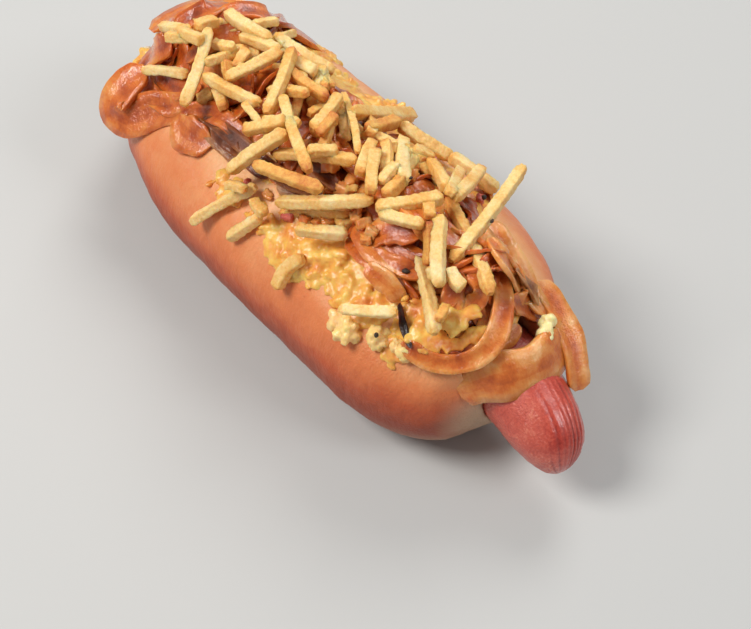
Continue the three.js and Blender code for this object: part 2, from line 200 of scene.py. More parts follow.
def crust_material():
    """Egg-washed milk-bun crust: satin, browned on the flank and paler towards the split, finely wrinkled. Painted
    shade darkens it low on the flank, at the foot and towards the near end, and a painted sheen is part of the lips'
    paleness.
    """
    material, tree = new_material("milk_bun_crust")
    place = add(tree, "ShaderNodeTexCoord").outputs["Object"]
    # The bun's tone: baked brown with painted shade low on the flank, at the foot and towards the near end, and a
    # painted sheen on the lips.
    bake = add(tree, "ShaderNodeAttribute", {"attribute_name": "bake"}).outputs["Fac"]
    crumb = add(tree, "ShaderNodeAttribute", {"attribute_name": "crumb"}).outputs["Fac"]
    pale = add(tree, "ShaderNodeAttribute", {"attribute_name": "pale"}).outputs["Fac"]
    clouds = add(
        tree, "ShaderNodeTexNoise", links={"Vector": place, "Scale": 55.0, "Detail": 4.0, "Roughness": 0.6}
    ).outputs[0]
    freckles = add(
        tree, "ShaderNodeTexNoise", links={"Vector": place, "Scale": 420.0, "Detail": 3.0, "Roughness": 0.6}
    ).outputs[0]
    shifted = add(tree, "ShaderNodeMath", {"operation": "MULTIPLY_ADD"}, {0: clouds, 1: 0.34, 2: bake})
    shifted = add(
        tree, "ShaderNodeMath", {"operation": "MULTIPLY_ADD"}, {0: freckles, 1: 0.14, 2: shifted.outputs[0]}
    )
    centred = add(tree, "ShaderNodeMath", {"operation": "SUBTRACT"}, {0: shifted.outputs[0], 1: 0.24})
    baked_and_shaded_tone = add(
        tree,
        "ShaderNodeValToRGB",
        {
            "stops": [
                (0.0, "#f6cf9c"),
                (0.25, "#efaf78"),
                (0.55, "#dd804b"),
                (0.8, "#bd562d"),
                (1.0, "#9a4226"),
            ]
        },
        {0: centred.outputs[0]},
    )
    unbaked = add(
        tree,
        "ShaderNodeMix",
        {"data_type": "RGBA"},
        {0: pale, 6: baked_and_shaded_tone.outputs[0], 7: linear("#bfa283")},
    )
    inside = add(
        tree,
        "ShaderNodeMix",
        {"data_type": "RGBA"},
        {0: crumb, 6: unbaked.outputs[2], 7: linear("#f3dcae")},
    )
    # Fine wrinkles run across the bun, about a millimetre apart.
    stretched = add(tree, "ShaderNodeMapping", links={"Vector": place, "Scale": (1.0, 0.45, 0.45)})
    wrinkles = add(
        tree,
        "ShaderNodeTexNoise",
        links={"Vector": stretched.outputs[0], "Scale": 340.0, "Detail": 5.0, "Roughness": 0.62},
    ).outputs[0]
    pores = add(
        tree, "ShaderNodeTexNoise", links={"Vector": place, "Scale": 1500.0, "Detail": 2.0}
    ).outputs[0]
    # Sharp little folds where the crust has shrunk, a few millimetres apart.
    folds = add(
        tree,
        "ShaderNodeTexNoise",
        {"noise_type": "RIDGED_MULTIFRACTAL"},
        {"Vector": stretched.outputs[0], "Scale": 120.0, "Detail": 4.0, "Roughness": 0.6, "Distortion": 1.2},
    ).outputs[0]
    relief = add(tree, "ShaderNodeMath", {"operation": "MULTIPLY_ADD"}, {0: pores, 1: 0.25, 2: wrinkles})
    relief = add(tree, "ShaderNodeMath", {"operation": "MULTIPLY_ADD"}, {0: folds, 1: -0.35, 2: relief.outputs[0]})
    bump = add(
        tree,
        "ShaderNodeBump",
        links={"Strength": 0.8, "Distance": 0.9 * MM, "Height": relief.outputs[0]},
    )
    rough = add(
        tree,
        "ShaderNodeMapRange",
        links={0: clouds, 1: 0.3, 2: 0.7, 3: 0.36, 4: 0.52},
    )
    shader = add(
        tree,
        "ShaderNodeBsdfPrincipled",
        links={
            "Base Color": inside.outputs[2],
            "Roughness": rough.outputs[0],
            "Subsurface Weight": 0.25,
            "Subsurface Radius": (1.0, 0.45, 0.25),
            "Subsurface Scale": 2.0 * MM,
            "Specular IOR Level": 0.42,
            "Normal": bump.outputs[0],
        },
    )
    finish_material(tree, shader)
    return material


def casing_material():
    """Cooked frankfurter in its casing: moist pink-red skin over a finely mottled emulsion, with painted shade in the
    valleys of its creases and on its right side near the tips.
    """
    material, tree = new_material("frankfurter_casing")
    place = add(tree, "ShaderNodeTexCoord").outputs["Object"]
    crease_painted_shade = add(tree, "ShaderNodeAttribute", {"attribute_name": "crease"}).outputs["Fac"]
    taut = add(tree, "ShaderNodeAttribute", {"attribute_name": "taut"}).outputs["Fac"]
    clouds = add(
        tree, "ShaderNodeTexNoise", links={"Vector": place, "Scale": 150.0, "Detail": 4.0, "Roughness": 0.6}
    ).outputs[0]
    mottle = add(
        tree, "ShaderNodeTexNoise", links={"Vector": place, "Scale": 1500.0, "Detail": 3.0, "Roughness": 0.6}
    ).outputs[0]
    tone = add(tree, "ShaderNodeMath", {"operation": "MULTIPLY_ADD"}, {0: mottle, 1: 0.6, 2: 0.19})
    tone = add(tree, "ShaderNodeMath", {"operation": "MULTIPLY_ADD"}, {0: clouds, 1: 0.55, 2: tone.outputs[0]})
    # Painted shade: darker in the valleys of the creases and on the stretched right side near the tips.
    tone = add(tree, "ShaderNodeMath", {"operation": "MULTIPLY_ADD"}, {0: crease_painted_shade, 1: -0.4, 2: tone.outputs[0]})
    tone = add(tree, "ShaderNodeMath", {"operation": "MULTIPLY_ADD"}, {0: taut, 1: -0.1, 2: tone.outputs[0]})
    skin = add(
        tree,
        "ShaderNodeValToRGB",
        {"stops": [(0.35, "#8a2016"), (0.6, "#b53b2b"), (0.8, "#cd5843"), (1.0, "#e58a70")]},
        {0: tone.outputs[0]},
    )
    # The stretched casing is smooth; elsewhere the surface is finely pimpled.
    pimpled = add(tree, "ShaderNodeMapRange", links={0: taut, 1: 0.0, 2: 1.0, 3: 0.9, 4: 0.1})
    bump = add(
        tree,
        "ShaderNodeBump",
        links={"Strength": pimpled.outputs[0], "Distance": 0.4 * MM, "Height": mottle},
    )
    shader = add(
        tree,
        "ShaderNodeBsdfPrincipled",
        links={
            "Base Color": skin.outputs[0],
            "Roughness": 0.36,
            "Subsurface Weight": 0.3,
            "Subsurface Radius": (1.0, 0.3, 0.2),
            "Subsurface Scale": 1.5 * MM,
            "Coat Weight": 0.6,
            "Coat Roughness": 0.12,
            "Normal": bump.outputs[0],
            "Coat Normal": bump.outputs[0],
        },
    )
    finish_material(tree, shader)
    return material


def cheese_material():
    """Melted grated cheese: buttery yellow with paler curds and orange oil where it is thick."""
    material, tree = new_material("melted_cheese")
    place = add(tree, "ShaderNodeTexCoord").outputs["Object"]
    clouds = add(
        tree, "ShaderNodeTexNoise", links={"Vector": place, "Scale": 170.0, "Detail": 4.0, "Roughness": 0.65}
    ).outputs[0]
    colour = add(
        tree,
        "ShaderNodeValToRGB",
        {
            "stops": [
                (0.28, "#d97a2c"),
                (0.42, "#eba04a"),
                (0.52, "#efb453"),
                (0.64, "#f5cb6a"),
                (0.78, "#fbe7ae"),
            ]
        },
        {0: clouds},
    )
    fresh = add(tree, "ShaderNodeAttribute", {"attribute_name": "fresh"}).outputs["Fac"]
    colour = add(
        tree,
        "ShaderNodeMix",
        {"data_type": "RGBA"},
        {0: fresh, 6: colour.outputs[0], 7: linear("#fbe7a6")},
    )
    grain = add(
        tree, "ShaderNodeTexNoise", links={"Vector": place, "Scale": 900.0, "Detail": 3.0}
    ).outputs[0]
    bump = add(
        tree,
        "ShaderNodeBump",
        links={"Strength": 0.5, "Distance": 0.3 * MM, "Height": grain},
    )
    shader = add(
        tree,
        "ShaderNodeBsdfPrincipled",
        links={
            "Base Color": colour.outputs[2],
            "Roughness": 0.38,
            "Subsurface Weight": 0.4,
            "Subsurface Radius": (1.0, 0.6, 0.25),
            "Subsurface Scale": 2.5 * MM,
            "Coat Weight": 0.25,
            "Coat Roughness": 0.25,
            "Normal": bump.outputs[0],
        },
    )
    finish_material(tree, shader)
    return material


def onion_material(name, stops, along_scale, across_scale, gloss):
    """Onion cooked in its own sugar: translucent amber flesh, fibres along the slice, a wet sticky gloss."""
    material, tree = new_material(name)
    place = add(tree, "ShaderNodeTexCoord").outputs["Object"]
    across = add(tree, "ShaderNodeAttribute", {"attribute_name": "across"}).outputs["Fac"]
    run = add(tree, "ShaderNodeAttribute", {"attribute_name": "run"}).outputs["Fac"]
    tint = add(tree, "ShaderNodeAttribute", {"attribute_name": "tint"}).outputs["Fac"]
    lengthwise = add(tree, "ShaderNodeMath", {"operation": "MULTIPLY"}, {0: run, 1: along_scale})
    crosswise = add(tree, "ShaderNodeMath", {"operation": "MULTIPLY"}, {0: across, 1: across_scale})
    weave = add(
        tree,
        "ShaderNodeCombineXYZ",
        links={0: lengthwise.outputs[0], 1: crosswise.outputs[0], 2: tint},
    )
    fibres = add(
        tree,
        "ShaderNodeTexNoise",
        links={"Vector": weave.outputs[0], "Scale": 1.5, "Detail": 3.0, "Roughness": 0.6},
    ).outputs[0]
    clouds = add(
        tree, "ShaderNodeTexNoise", links={"Vector": place, "Scale": 130.0, "Detail": 4.0, "Roughness": 0.6}
    ).outputs[0]
    rim = add(tree, "ShaderNodeMath", {"operation": "ABSOLUTE"}, {0: across})
    rim = add(tree, "ShaderNodeMath", {"operation": "POWER"}, {0: rim.outputs[0], 1: 12.0})
    tone = add(tree, "ShaderNodeMath", {"operation": "MULTIPLY_ADD"}, {0: fibres, 1: 0.14, 2: tint})
    tone = add(tree, "ShaderNodeMath", {"operation": "MULTIPLY_ADD"}, {0: clouds, 1: 1.06, 2: tone.outputs[0]})
    tone = add(
        tree, "ShaderNodeMath", {"operation": "MULTIPLY_ADD"}, {0: rim.outputs[0], 1: 0.14, 2: tone.outputs[0]}
    )
    flesh = add(tree, "ShaderNodeValToRGB", {"stops": stops}, {0: tone.outputs[0]})
    wrinkle = add(
        tree, "ShaderNodeTexNoise", links={"Vector": place, "Scale": 1000.0, "Detail": 3.0, "Roughness": 0.6}
    ).outputs[0]
    relief = add(tree, "ShaderNodeMath", {"operation": "MULTIPLY_ADD"}, {0: fibres, 1: 0.3, 2: wrinkle})
    bump = add(
        tree,
        "ShaderNodeBump",
        links={"Strength": 0.9, "Distance": 0.3 * MM, "Height": relief.outputs[0]},
    )
    shader = add(
        tree,
        "ShaderNodeBsdfPrincipled",
        links={
            "Base Color": flesh.outputs[0],
            "Roughness": 0.34,
            "Specular IOR Level": 0.2,
            "Subsurface Weight": 0.45,
            "Subsurface Radius": (1.0, 0.4, 0.12),
            "Subsurface Scale": 1.8 * MM,
            "Coat Weight": gloss,
            "Coat Roughness": 0.06,
            "Normal": bump.outputs[0],
            "Coat Normal": bump.outputs[0],
        },
    )
    finish_material(tree, shader)
    return material


def potato_material():
    """Shoestring potato fried crisp: pale gold, browned at the ends and in patches, with a blistered skin."""
    material, tree = new_material("golden_fried_potato")
    place = add(tree, "ShaderNodeTexCoord").outputs["Object"]
    along = add(tree, "ShaderNodeAttribute", {"attribute_name": "along"}).outputs["Fac"]
    tint = add(tree, "ShaderNodeAttribute", {"attribute_name": "tint"}).outputs["Fac"]
    patches = add(
        tree, "ShaderNodeTexNoise", links={"Vector": place, "Scale": 130.0, "Detail": 3.0, "Roughness": 0.55}
    ).outputs[0]
    fine = add(
        tree, "ShaderNodeTexNoise", links={"Vector": place, "Scale": 1200.0, "Detail": 4.0, "Roughness": 0.7}
    ).outputs[0]
    from_middle = add(tree, "ShaderNodeMath", {"operation": "SUBTRACT"}, {0: along, 1: 0.5})
    from_middle = add(tree, "ShaderNodeMath", {"operation": "ABSOLUTE"}, {0: from_middle.outputs[0]})
    ends = add(
        tree,
        "ShaderNodeMapRange",
        {"interpolation_type": "SMOOTHSTEP"},
        {0: from_middle.outputs[0], 1: 0.36, 2: 0.5, 3: 0.0, 4: 0.14},
    )
    tone = add(tree, "ShaderNodeMath", {"operation": "MULTIPLY_ADD"}, {0: patches, 1: 0.7, 2: tint})
    tone = add(tree, "ShaderNodeMath", {"operation": "MULTIPLY_ADD"}, {0: fine, 1: 0.5, 2: tone.outputs[0]})
    tone = add(tree, "ShaderNodeMath", {"operation": "SUBTRACT"}, {0: tone.outputs[0], 1: 0.08})
    tone = add(tree, "ShaderNodeMath", {"operation": "ADD"}, {0: ends.outputs[0], 1: tone.outputs[0]})
    skin = add(
        tree,
        "ShaderNodeValToRGB",
        {
            "stops": [
                (0.26, "#fae6b2"),
                (0.48, "#f3cf88"),
                (0.66, "#e7ae58"),
                (0.85, "#d17c38"),
                (1.0, "#a04a24"),
            ]
        },
        {0: tone.outputs[0]},
    )
    bump = add(
        tree,
        "ShaderNodeBump",
        links={"Strength": 0.9, "Distance": 0.45 * MM, "Height": fine},
    )
    shader = add(
        tree,
        "ShaderNodeBsdfPrincipled",
        links={
            "Base Color": skin.outputs[0],
            "Roughness": 0.46,
            "Subsurface Weight": 0.5,
            "Subsurface Radius": (1.0, 0.5, 0.2),
            "Subsurface Scale": 1.6 * MM,
            "Specular IOR Level": 0.4,
            "Normal": bump.outputs[0],
        },
    )
    finish_material(tree, shader)
    return material


def pepper_material():
    """Cracked black pepper: near-black husk with a dull sheen."""
    material, tree = new_material("cracked_pepper")
    place = add(tree, "ShaderNodeTexCoord").outputs["Object"]
    husk = add(tree, "ShaderNodeTexNoise", links={"Vector": place, "Scale": 1400.0, "Detail": 2.0}).outputs[0]
    colour = add(
        tree, "ShaderNodeValToRGB", {"stops": [(0.4, "#1c120c"), (0.7, "#4a3322")]}, {0: husk}
    )
    shader = add(
        tree, "ShaderNodeBsdfPrincipled", links={"Base Color": colour.outputs[0], "Roughness": 0.6}
    )
    finish_material(tree, shader)
    return material


# ---- meshes

def to_object(name, vertices, faces, material, attributes=None):
    """A smooth mesh object at the origin from points in millimetres, with point attributes."""
    mesh = bpy.data.meshes.new(name)
    mesh.from_pydata((np.asarray(vertices, float) * MM).tolist(), [], faces)
    for key, values in (attributes or {}).items():
        stored = mesh.attributes.new(key, "FLOAT", "POINT")
        stored.data.foreach_set("value", np.asarray(values, np.float32))
    mesh.shade_smooth()
    mesh.materials.append(material)
    made = bpy.data.objects.new(name, mesh)
    bpy.context.scene.collection.objects.link(made)
    return made


def points_of(made):
    """The vertices of an object's mesh, in millimetres."""
    flat = np.empty(len(made.data.vertices) * 3, np.float32)
    made.data.vertices.foreach_get("co", flat)
    return flat.reshape(-1, 3).astype(float) / MM


def set_points(made, points):
    made.data.vertices.foreach_set("co", (np.asarray(points) * MM).astype(np.float32).ravel())
    made.data.update()


def set_attribute(made, key, values):
    stored = made.data.attributes.get(key) or made.data.attributes.new(key, "FLOAT", "POINT")
    stored.data.foreach_set("value", np.asarray(values, np.float32))


def applied(made):
    """The object's evaluated mesh as a new plain mesh, with no modifier left."""
    graph = bpy.context.evaluated_depsgraph_get()
    mesh = bpy.data.meshes.new_from_object(made.evaluated_get(graph), depsgraph=graph)
    old = made.data
    made.modifiers.clear()
    made.data = mesh
    bpy.data.meshes.remove(old)
    return made


def remeshed(made, voxel, smoothing):
    """A closed skin of even faces over the object's mesh, a little smoothed."""
    skin = made.modifiers.new("skin", "REMESH")
    skin.mode = "VOXEL"
    skin.voxel_size = voxel * MM
    skin.use_smooth_shade = True
    soften = made.modifiers.new("soften", "SMOOTH")
    soften.factor = 0.5
    soften.iterations = smoothing
    return applied(made)


def shell_faces(rows, around):
    """Quads of a closed shell of rings, with a fan at each end: its end points come last."""
    faces = []
    for i in range(rows - 1):
        for j in range(around):
            k = (j + 1) % around
            faces.append((i * around + j, i * around + k, (i + 1) * around + k, (i + 1) * around + j))
    first, last = rows * around, rows * around + 1
    top = (rows - 1) * around
    for j in range(around):
        k = (j + 1) % around
        faces.append((first, k, j))
        faces.append((last, top + j, top + k))
    return faces


def faces_outwards(made):
    work = bmesh.new()
    work.from_mesh(made.data)
    bmesh.ops.recalc_face_normals(work, faces=work.faces)
    work.to_mesh(made.data)
    work.free()


def spline(points, count):
    """Points spread evenly along a smooth curve through the given ones."""
    given = np.asarray(points, float)
    knots = np.concatenate([[0], np.cumsum(np.sqrt(np.linalg.norm(np.diff(given, axis=0), axis=1)))])
    before = 2 * given[0] - given[1]
    after = 2 * given[-1] - given[-2]
    padded = np.vstack([before, given, after])
    times = np.concatenate([[knots[0] - (knots[1] - knots[0])], knots, [2 * knots[-1] - knots[-2]]])
    out = []
    for t in np.linspace(knots[0], knots[-1], count * 4):
        i = int(np.clip(np.searchsorted(knots, t, side="right") - 1, 0, len(given) - 2)) + 1
        p, k = padded[i - 1 : i + 3], times[i - 1 : i + 3]
        a = [(k[n + 1] - t) / (k[n + 1] - k[n]) * p[n] + (t - k[n]) / (k[n + 1] - k[n]) * p[n + 1] for n in range(3)]
        b = [
            (k[n + 2] - t) / (k[n + 2] - k[n]) * a[n] + (t - k[n]) / (k[n + 2] - k[n]) * a[n + 1]
            for n in range(2)
        ]
        out.append((k[2] - t) / (k[2] - k[1]) * b[0] + (t - k[1]) / (k[2] - k[1]) * b[1])
    out = np.array(out)
    run = np.concatenate([[0], np.cumsum(np.linalg.norm(np.diff(out, axis=0), axis=1))])
    even = np.linspace(0, run[-1], count)
    return np.stack([np.interp(even, run, out[:, n]) for n in range(3)], 1)


def smoothstep(value, low, high):
    share = np.clip((value - low) / (high - low), 0, 1)
    return share * share * (3 - 2 * share)


def lumps(points, grain, seed):
    """Smooth noise between about -1 and 1 at each point, of a grain in millimetres."""
    shift = Vector((seed * 7.3, seed * 3.1, seed * 5.7))
    return np.array([noise.noise(Vector(p) / grain + shift) for p in points]) * 1.6


# ---- the bun

def end_scale(x):
    share = np.clip(np.abs(2 * x) / BUN_LENGTH, 0, 1)
    return np.sqrt(1 - share ** np.where(x > 0, END_POWER_NEAR, END_POWER_FAR))


def bun_half_width(x, side):
    width = BUN_HALF_WIDTH + 0 * x
    for wave_side, at, spread, out in BUN_WAVES:
        width = width + np.where(wave_side * side > 0, out, 0) * np.exp(-(((x - at) / spread) ** 2))
    return width * end_scale(x)


def bun_top(x, y):
    share = np.clip(np.abs(y) / (bun_half_width(x, y) + 1e-6), 0, 1)
    crown = BUN_CROWN * end_scale(x) ** 0.8
    return BUN_WAIST_HEIGHT + crown * (1 - share**SECTION_POWER) ** (1 / SECTION_POWER)


def split_profile():
    """The outline of the split across the bun, from the far left lip down round the seat and up again."""
    lip = [
        (-LIP_HALF_WIDTH, LIP_HEIGHT),
        (-(WALL_HALF_GAP + 1.5), LIP_HEIGHT - 1.3),
        (-(WALL_HALF_GAP + 0.4), WALL_TOP + 5),
        (-WALL_HALF_GAP, WALL_TOP),
    ]
    curve = []
    for t in np.linspace(0, 1, 14):
        weights = [(1 - t) ** 3, 3 * t * (1 - t) ** 2, 3 * t * t * (1 - t), t**3]
        curve.append(tuple(sum(w * p[n] for w, p in zip(weights, lip)) for n in range(2)))
    seat = [
        (SEAT_RADIUS * math.cos(a), SEAT_HEIGHT + SEAT_RADIUS * math.sin(a))
        for a in np.linspace(math.pi, 1.5 * math.pi, 12)
    ]
    left = [(-BUN_HALF_WIDTH, 2 * LIP_HEIGHT), (-BUN_HALF_WIDTH, LIP_HEIGHT + 0.4)] + curve + seat
    return left + [(-y, z) for y, z in reversed(left[:-1])]


def hugged(points):
    """Draws the walls of the split in until they hold the lower half of the sausage."""
    axis = spline(SAUSAGE_AXIS, 200)
    middle = np.stack([np.interp(points[:, 0], axis[:, 0], axis[:, n]) for n in (1, 2)], 1)
    away = points[:, 1:] - middle
    far = np.linalg.norm(away, axis=1)
    at_end = smoothstep(np.abs(points[:, 0]), 66, 84)
    slim = smoothstep(points[:, 0], 76, 96) * (SAUSAGE_TIP_DIAMETER - SAUSAGE_DIAMETER)
    skin = (SAUSAGE_DIAMETER + slim) / 2 + HUG_GAP
    loose = np.maximum(far - skin, 0)
    share = np.clip(loose / (HUG_REACH + HUG_REACH_AT_END * at_end), 0, 1)
    drawn = skin + loose * share * share * (3 - 2 * share)
    share = smoothstep(away[:, 1], 10, 6) * (far > skin)
    scale = 1 + share * (drawn / far - 1)
    held = points.copy()
    held[:, 1:] = middle + away * scale[:, None]
    return held


def make_bun(material):
    rows, around = 180, 150
    vertices = []
    for x in -np.cos(np.linspace(0.02, math.pi - 0.02, rows)) * BUN_LENGTH / 2:
        turn = np.linspace(0, 2 * math.pi, around, endpoint=False)
        across = np.sign(np.sin(turn)) * np.abs(np.sin(turn)) ** 0.9
        up = np.sign(np.cos(turn)) * np.abs(np.cos(turn)) ** 0.9
        reach = np.where(up > 0, BUN_CROWN, BUN_BELLY) * end_scale(x) ** 0.8
        z = np.maximum(BUN_WAIST_HEIGHT + reach * up, 0)
        vertices += list(zip(np.full(around, x), bun_half_width(x, across) * across, z))
    vertices += [(-BUN_LENGTH / 2, 0, BUN_WAIST_HEIGHT), (BUN_LENGTH / 2, 0, BUN_WAIST_HEIGHT)]
    bun = to_object("milk_bun", vertices, shell_faces(rows, around), material)
    faces_outwards(bun)

    profile = split_profile()
    sides = len(profile)
    reach = BUN_LENGTH / 2 + 10
    walls = [(x, y, z) for x in (-reach, reach) for y, z in profile]
    quads = [(j, (j + 1) % sides, sides + (j + 1) % sides, sides + j) for j in range(sides)]
    ends = [tuple(range(sides)), tuple(range(sides, 2 * sides))]
    knife = to_object("knife", walls, quads + ends, material)
    faces_outwards(knife)
    cut = bun.modifiers.new("cut", "BOOLEAN")
    cut.operation = "DIFFERENCE"
    cut.solver = "EXACT"
    cut.object = knife
    applied(bun)
    bpy.data.objects.remove(knife)
    remeshed(bun, 1.0, 3)

    points = points_of(bun)
    x, y, z = points.T
    outline = np.array(split_profile())
    ahead = np.roll(outline, -1, 0)
    gap = np.full(len(points), 9.0)
    for start, end in zip(outline, ahead):
        edge = end - start
        share = np.clip(((np.stack([y, z], 1) - start) @ edge) / (edge @ edge), 0, 1)
        gap = np.minimum(gap, np.hypot(*(np.stack([y, z], 1) - start - share[:, None] * edge).T))
    inside = smoothstep(gap, 1.6, 0.7) * smoothstep(z, 45, 41) * smoothstep(x, 76, 68)
    normals = np.empty(len(points) * 3, np.float32)
    bun.data.vertices.foreach_get("normal", normals)
    normals = normals.reshape(-1, 3)
    points = hugged(points)
    swell = 0.45 * lumps(points, 22, 1) + 0.22 * lumps(points, 9, 2) + 0.1 * lumps(points, 3.2, 6)
    swell = swell * smoothstep(z, 1.5, 8)
    crags = 0.25 * lumps(points, 2.2, 3) * inside
    set_points(bun, points + normals * (swell + crags)[:, None])
    flat = points_of(bun)
    flat[:, 2] = np.maximum(flat[:, 2], 0)
    set_points(bun, flat)

    # The crust's tone: baked brown with painted shade, darker low on the flank, at the foot and towards the near end;
    # the lips by the split are paler, partly the crust's own colour and partly a painted sheen.
    lip_pallor_and_painted_sheen = smoothstep(np.abs(y), 34, 22) * smoothstep(z, 26, 42)
    low = smoothstep(z, 34, 12)
    bake = 0.5 + 0.56 * low - 0.3 * lip_pallor_and_painted_sheen + 0.1 * smoothstep(z, 6, 0)
    bake = bake + 0.16 * smoothstep(x, 10, 70) * (1 - 0.6 * low) * (1 - 0.9 * lip_pallor_and_painted_sheen)
    pale = smoothstep(x, 58, 84) * smoothstep(z, 18, 7) * 0.8
    pale = np.maximum(pale, smoothstep(x, 78, 84) * smoothstep(z, 34, 26) * 0.9)
    set_attribute(bun, "bake", bake)
    set_attribute(bun, "crumb", inside)
    set_attribute(bun, "pale", pale)
    bun.data.shade_smooth()
    return bun


# ---- the sausage

def make_sausage(material):
    rows, around = 260, 144
    axis = spline(SAUSAGE_AXIS, rows)
    length = np.linalg.norm(np.diff(axis, axis=0), axis=1).sum()
    ease = np.linspace(0, 1, rows)
    cap_rows = 0.25
    from_end = np.minimum(ease, 1 - ease)
    in_cap = np.clip(from_end / cap_rows, 0, 1) * math.pi / 2
    straight = np.clip((from_end - cap_rows) / (0.5 - cap_rows), 0, 1) * (length / 2 - SAUSAGE_CAP)
    run = SAUSAGE_CAP * (1 - np.cos(in_cap)) + straight
    along = np.where(ease < 0.5, run, length - run)
    even = np.linspace(0, length, rows)
    centres = np.stack([np.interp(along, even, axis[:, n]) for n in range(3)], 1)
    tangents = np.gradient(axis, axis=0)
    tangents = np.stack([np.interp(along, even, tangents[:, n]) for n in range(3)], 1)
    tangents /= np.linalg.norm(tangents, axis=1, keepdims=True)

    slim = smoothstep(along / length, 0.84, 0.94)
    radius = (SAUSAGE_DIAMETER + (SAUSAGE_TIP_DIAMETER - SAUSAGE_DIAMETER) * slim) / 2
    radius = radius * np.sin(in_cap) ** np.where(ease > 0.5, 1.14, 0.85)
    turn = np.linspace(0, 2 * math.pi, around, endpoint=False)
    vertices, crease_shades, tautness_and_shade = [], [], []
    for i in range(1, rows - 1):
        side = np.cross((0, 0, 1), tangents[i])
        side /= np.linalg.norm(side)
        lift = np.cross(tangents[i], side)
        near = ease[i] > 0.5
        # The casing gathers into creases that meet at the tip: long ones on the right, short ones elsewhere.
        rightness = smoothstep(np.cos(turn - (0.75 if near else 2.0)), 0.15, 0.6)
        reach = 4 + 15 * rightness
        fade = np.exp(-((run[i] / reach) ** 2)) * min(1, run[i] / 1.2)
        folds = np.abs(np.sin(turn * 15 + 1.5 * np.sin(turn * 4 + 1) + 0.03 * run[i]))
        depth = 0.65 + 0.35 * np.sin(turn * 7)
        valley = (1 - folds) ** 1.8 * fade * depth
        # The smooth stretched casing on the right near each tip, which the skin also paints in shade.
        tautness_and_shade += (rightness * np.exp(-((run[i] / 24) ** 4))).tolist()
        out = np.maximum(radius[i] * (1 - 0.07 * valley) - 0.15 * valley, 0.25)
        ring = centres[i] + np.outer(np.cos(turn) * out, side) + np.outer(np.sin(turn) * out, lift)
        vertices += ring.tolist()
        # The valleys of the creases, for the skin's painted shade.
        crease_shades += valley.tolist()
    vertices += [centres[0].tolist(), centres[-1].tolist()]
    crease_shades += [0.6, 0.6]
    tautness_and_shade += [0.5, 0.5]
    sausage = to_object(
        "frankfurter",
        vertices,
        shell_faces(rows - 2, around),
        material,
        {"crease": crease_shades, "taut": tautness_and_shade},
    )
    faces_outwards(sausage)
    points = points_of(sausage)
    normals = np.empty(len(points) * 3, np.float32)
    sausage.data.vertices.foreach_get("normal", normals)
    bumps = 0.18 * lumps(points, 7, 4) + 0.05 * lumps(points, 1.6, 5)
    set_points(sausage, points + normals.reshape(-1, 3) * bumps[:, None])
    return sausage


# ---- the heap: heights of all that lies in place, on a grid of millimetres

LOWEST_SEEN = 12


class Heap:
    def __init__(self):
        self.corner = np.array([-100.0, -50.0])
        self.heights = np.zeros((421, 201))
        self.step = 0.5

    def cells(self, x, y):
        i = np.clip(np.round((np.asarray(x) - self.corner[0]) / self.step).astype(int), 0, 420)
        j = np.clip(np.round((np.asarray(y) - self.corner[1]) / self.step).astype(int), 0, 200)
        return i, j

    def at(self, x, y):
        return self.heights[self.cells(x, y)]

    def stamp(self, points):
        """Raises the grid to a cloud of points, and closes the pinholes between them."""
        fresh = np.zeros_like(self.heights)
        np.maximum.at(fresh, self.cells(points[:, 0], points[:, 1]), points[:, 2])
        shifts = [(i, j) for i in (-1, 0, 1) for j in (-1, 0, 1) if (i, j) != (0, 0)]
        for _ in range(8):
            around = np.array([np.roll(fresh, shift, (0, 1)) for shift in shifts])
            count = (around > 0).sum(0)
            middle = around.sum(0) / np.maximum(count, 1)
            fresh = np.where((fresh == 0) & (count > 3), middle, fresh)
        self.heights = np.maximum(self.heights, fresh)

    def seen_at(self, u, v, lift):
        """Where the line of sight through a pixel comes within a lift of the heap."""
        heights = np.arange(75, 0, -0.25)
        line = sight_line(u, v)
        places = CAMERA_PLACE + np.outer(CAMERA_PLACE[2] - heights, line)
        above = heights - self.at(places[:, 0], places[:, 1]) - lift
        met = np.nonzero(above[heights > LOWEST_SEEN] <= 0)[0]
        nearest = np.argmin(above[heights > LOWEST_SEEN])
        return places[met[0]] if len(met) else places[nearest]

    def normal(self, x, y, reach=3.0):
        dx = (self.at(x + reach, y) - self.at(x - reach, y)) / (2 * reach)
        dy = (self.at(x, y + reach) - self.at(x, y - reach)) / (2 * reach)
        out = np.array([-np.clip(dx, -2, 2), -np.clip(dy, -2, 2), 1.0])
        return out / np.linalg.norm(out)



# ---- shapes that Geometry Nodes repeat

def new_tree(name, inputs):
    """A Geometry Nodes tree with named number inputs, and the node that gives them."""
    tree = bpy.data.node_groups.new(name, "GeometryNodeTree")
    tree.interface.new_socket("Geometry", in_out="OUTPUT", socket_type="NodeSocketGeometry")
    tree.interface.new_socket("Geometry", in_out="INPUT", socket_type="NodeSocketGeometry")
    for label, value in inputs.items():
        socket = tree.interface.new_socket(label, in_out="INPUT", socket_type="NodeSocketFloat")
        socket.default_value = value
    return tree, tree.nodes.new("NodeGroupInput").outputs


def end_tree(tree, geometry, material):
    """Ends a tree in smooth faces, real meshes and their material."""
    shaded = add(tree, "GeometryNodeSetShadeSmooth", links={"Geometry": geometry})
    real = add(tree, "GeometryNodeRealizeInstances", links={"Geometry": shaded.outputs[0]})
    finished = add(
        tree,
        "GeometryNodeSetMaterial",
        links={"Geometry": real.outputs[0], "Material": material},
    )
    add(tree, "NodeGroupOutput", links={"Geometry": finished.outputs[0]})
    return tree


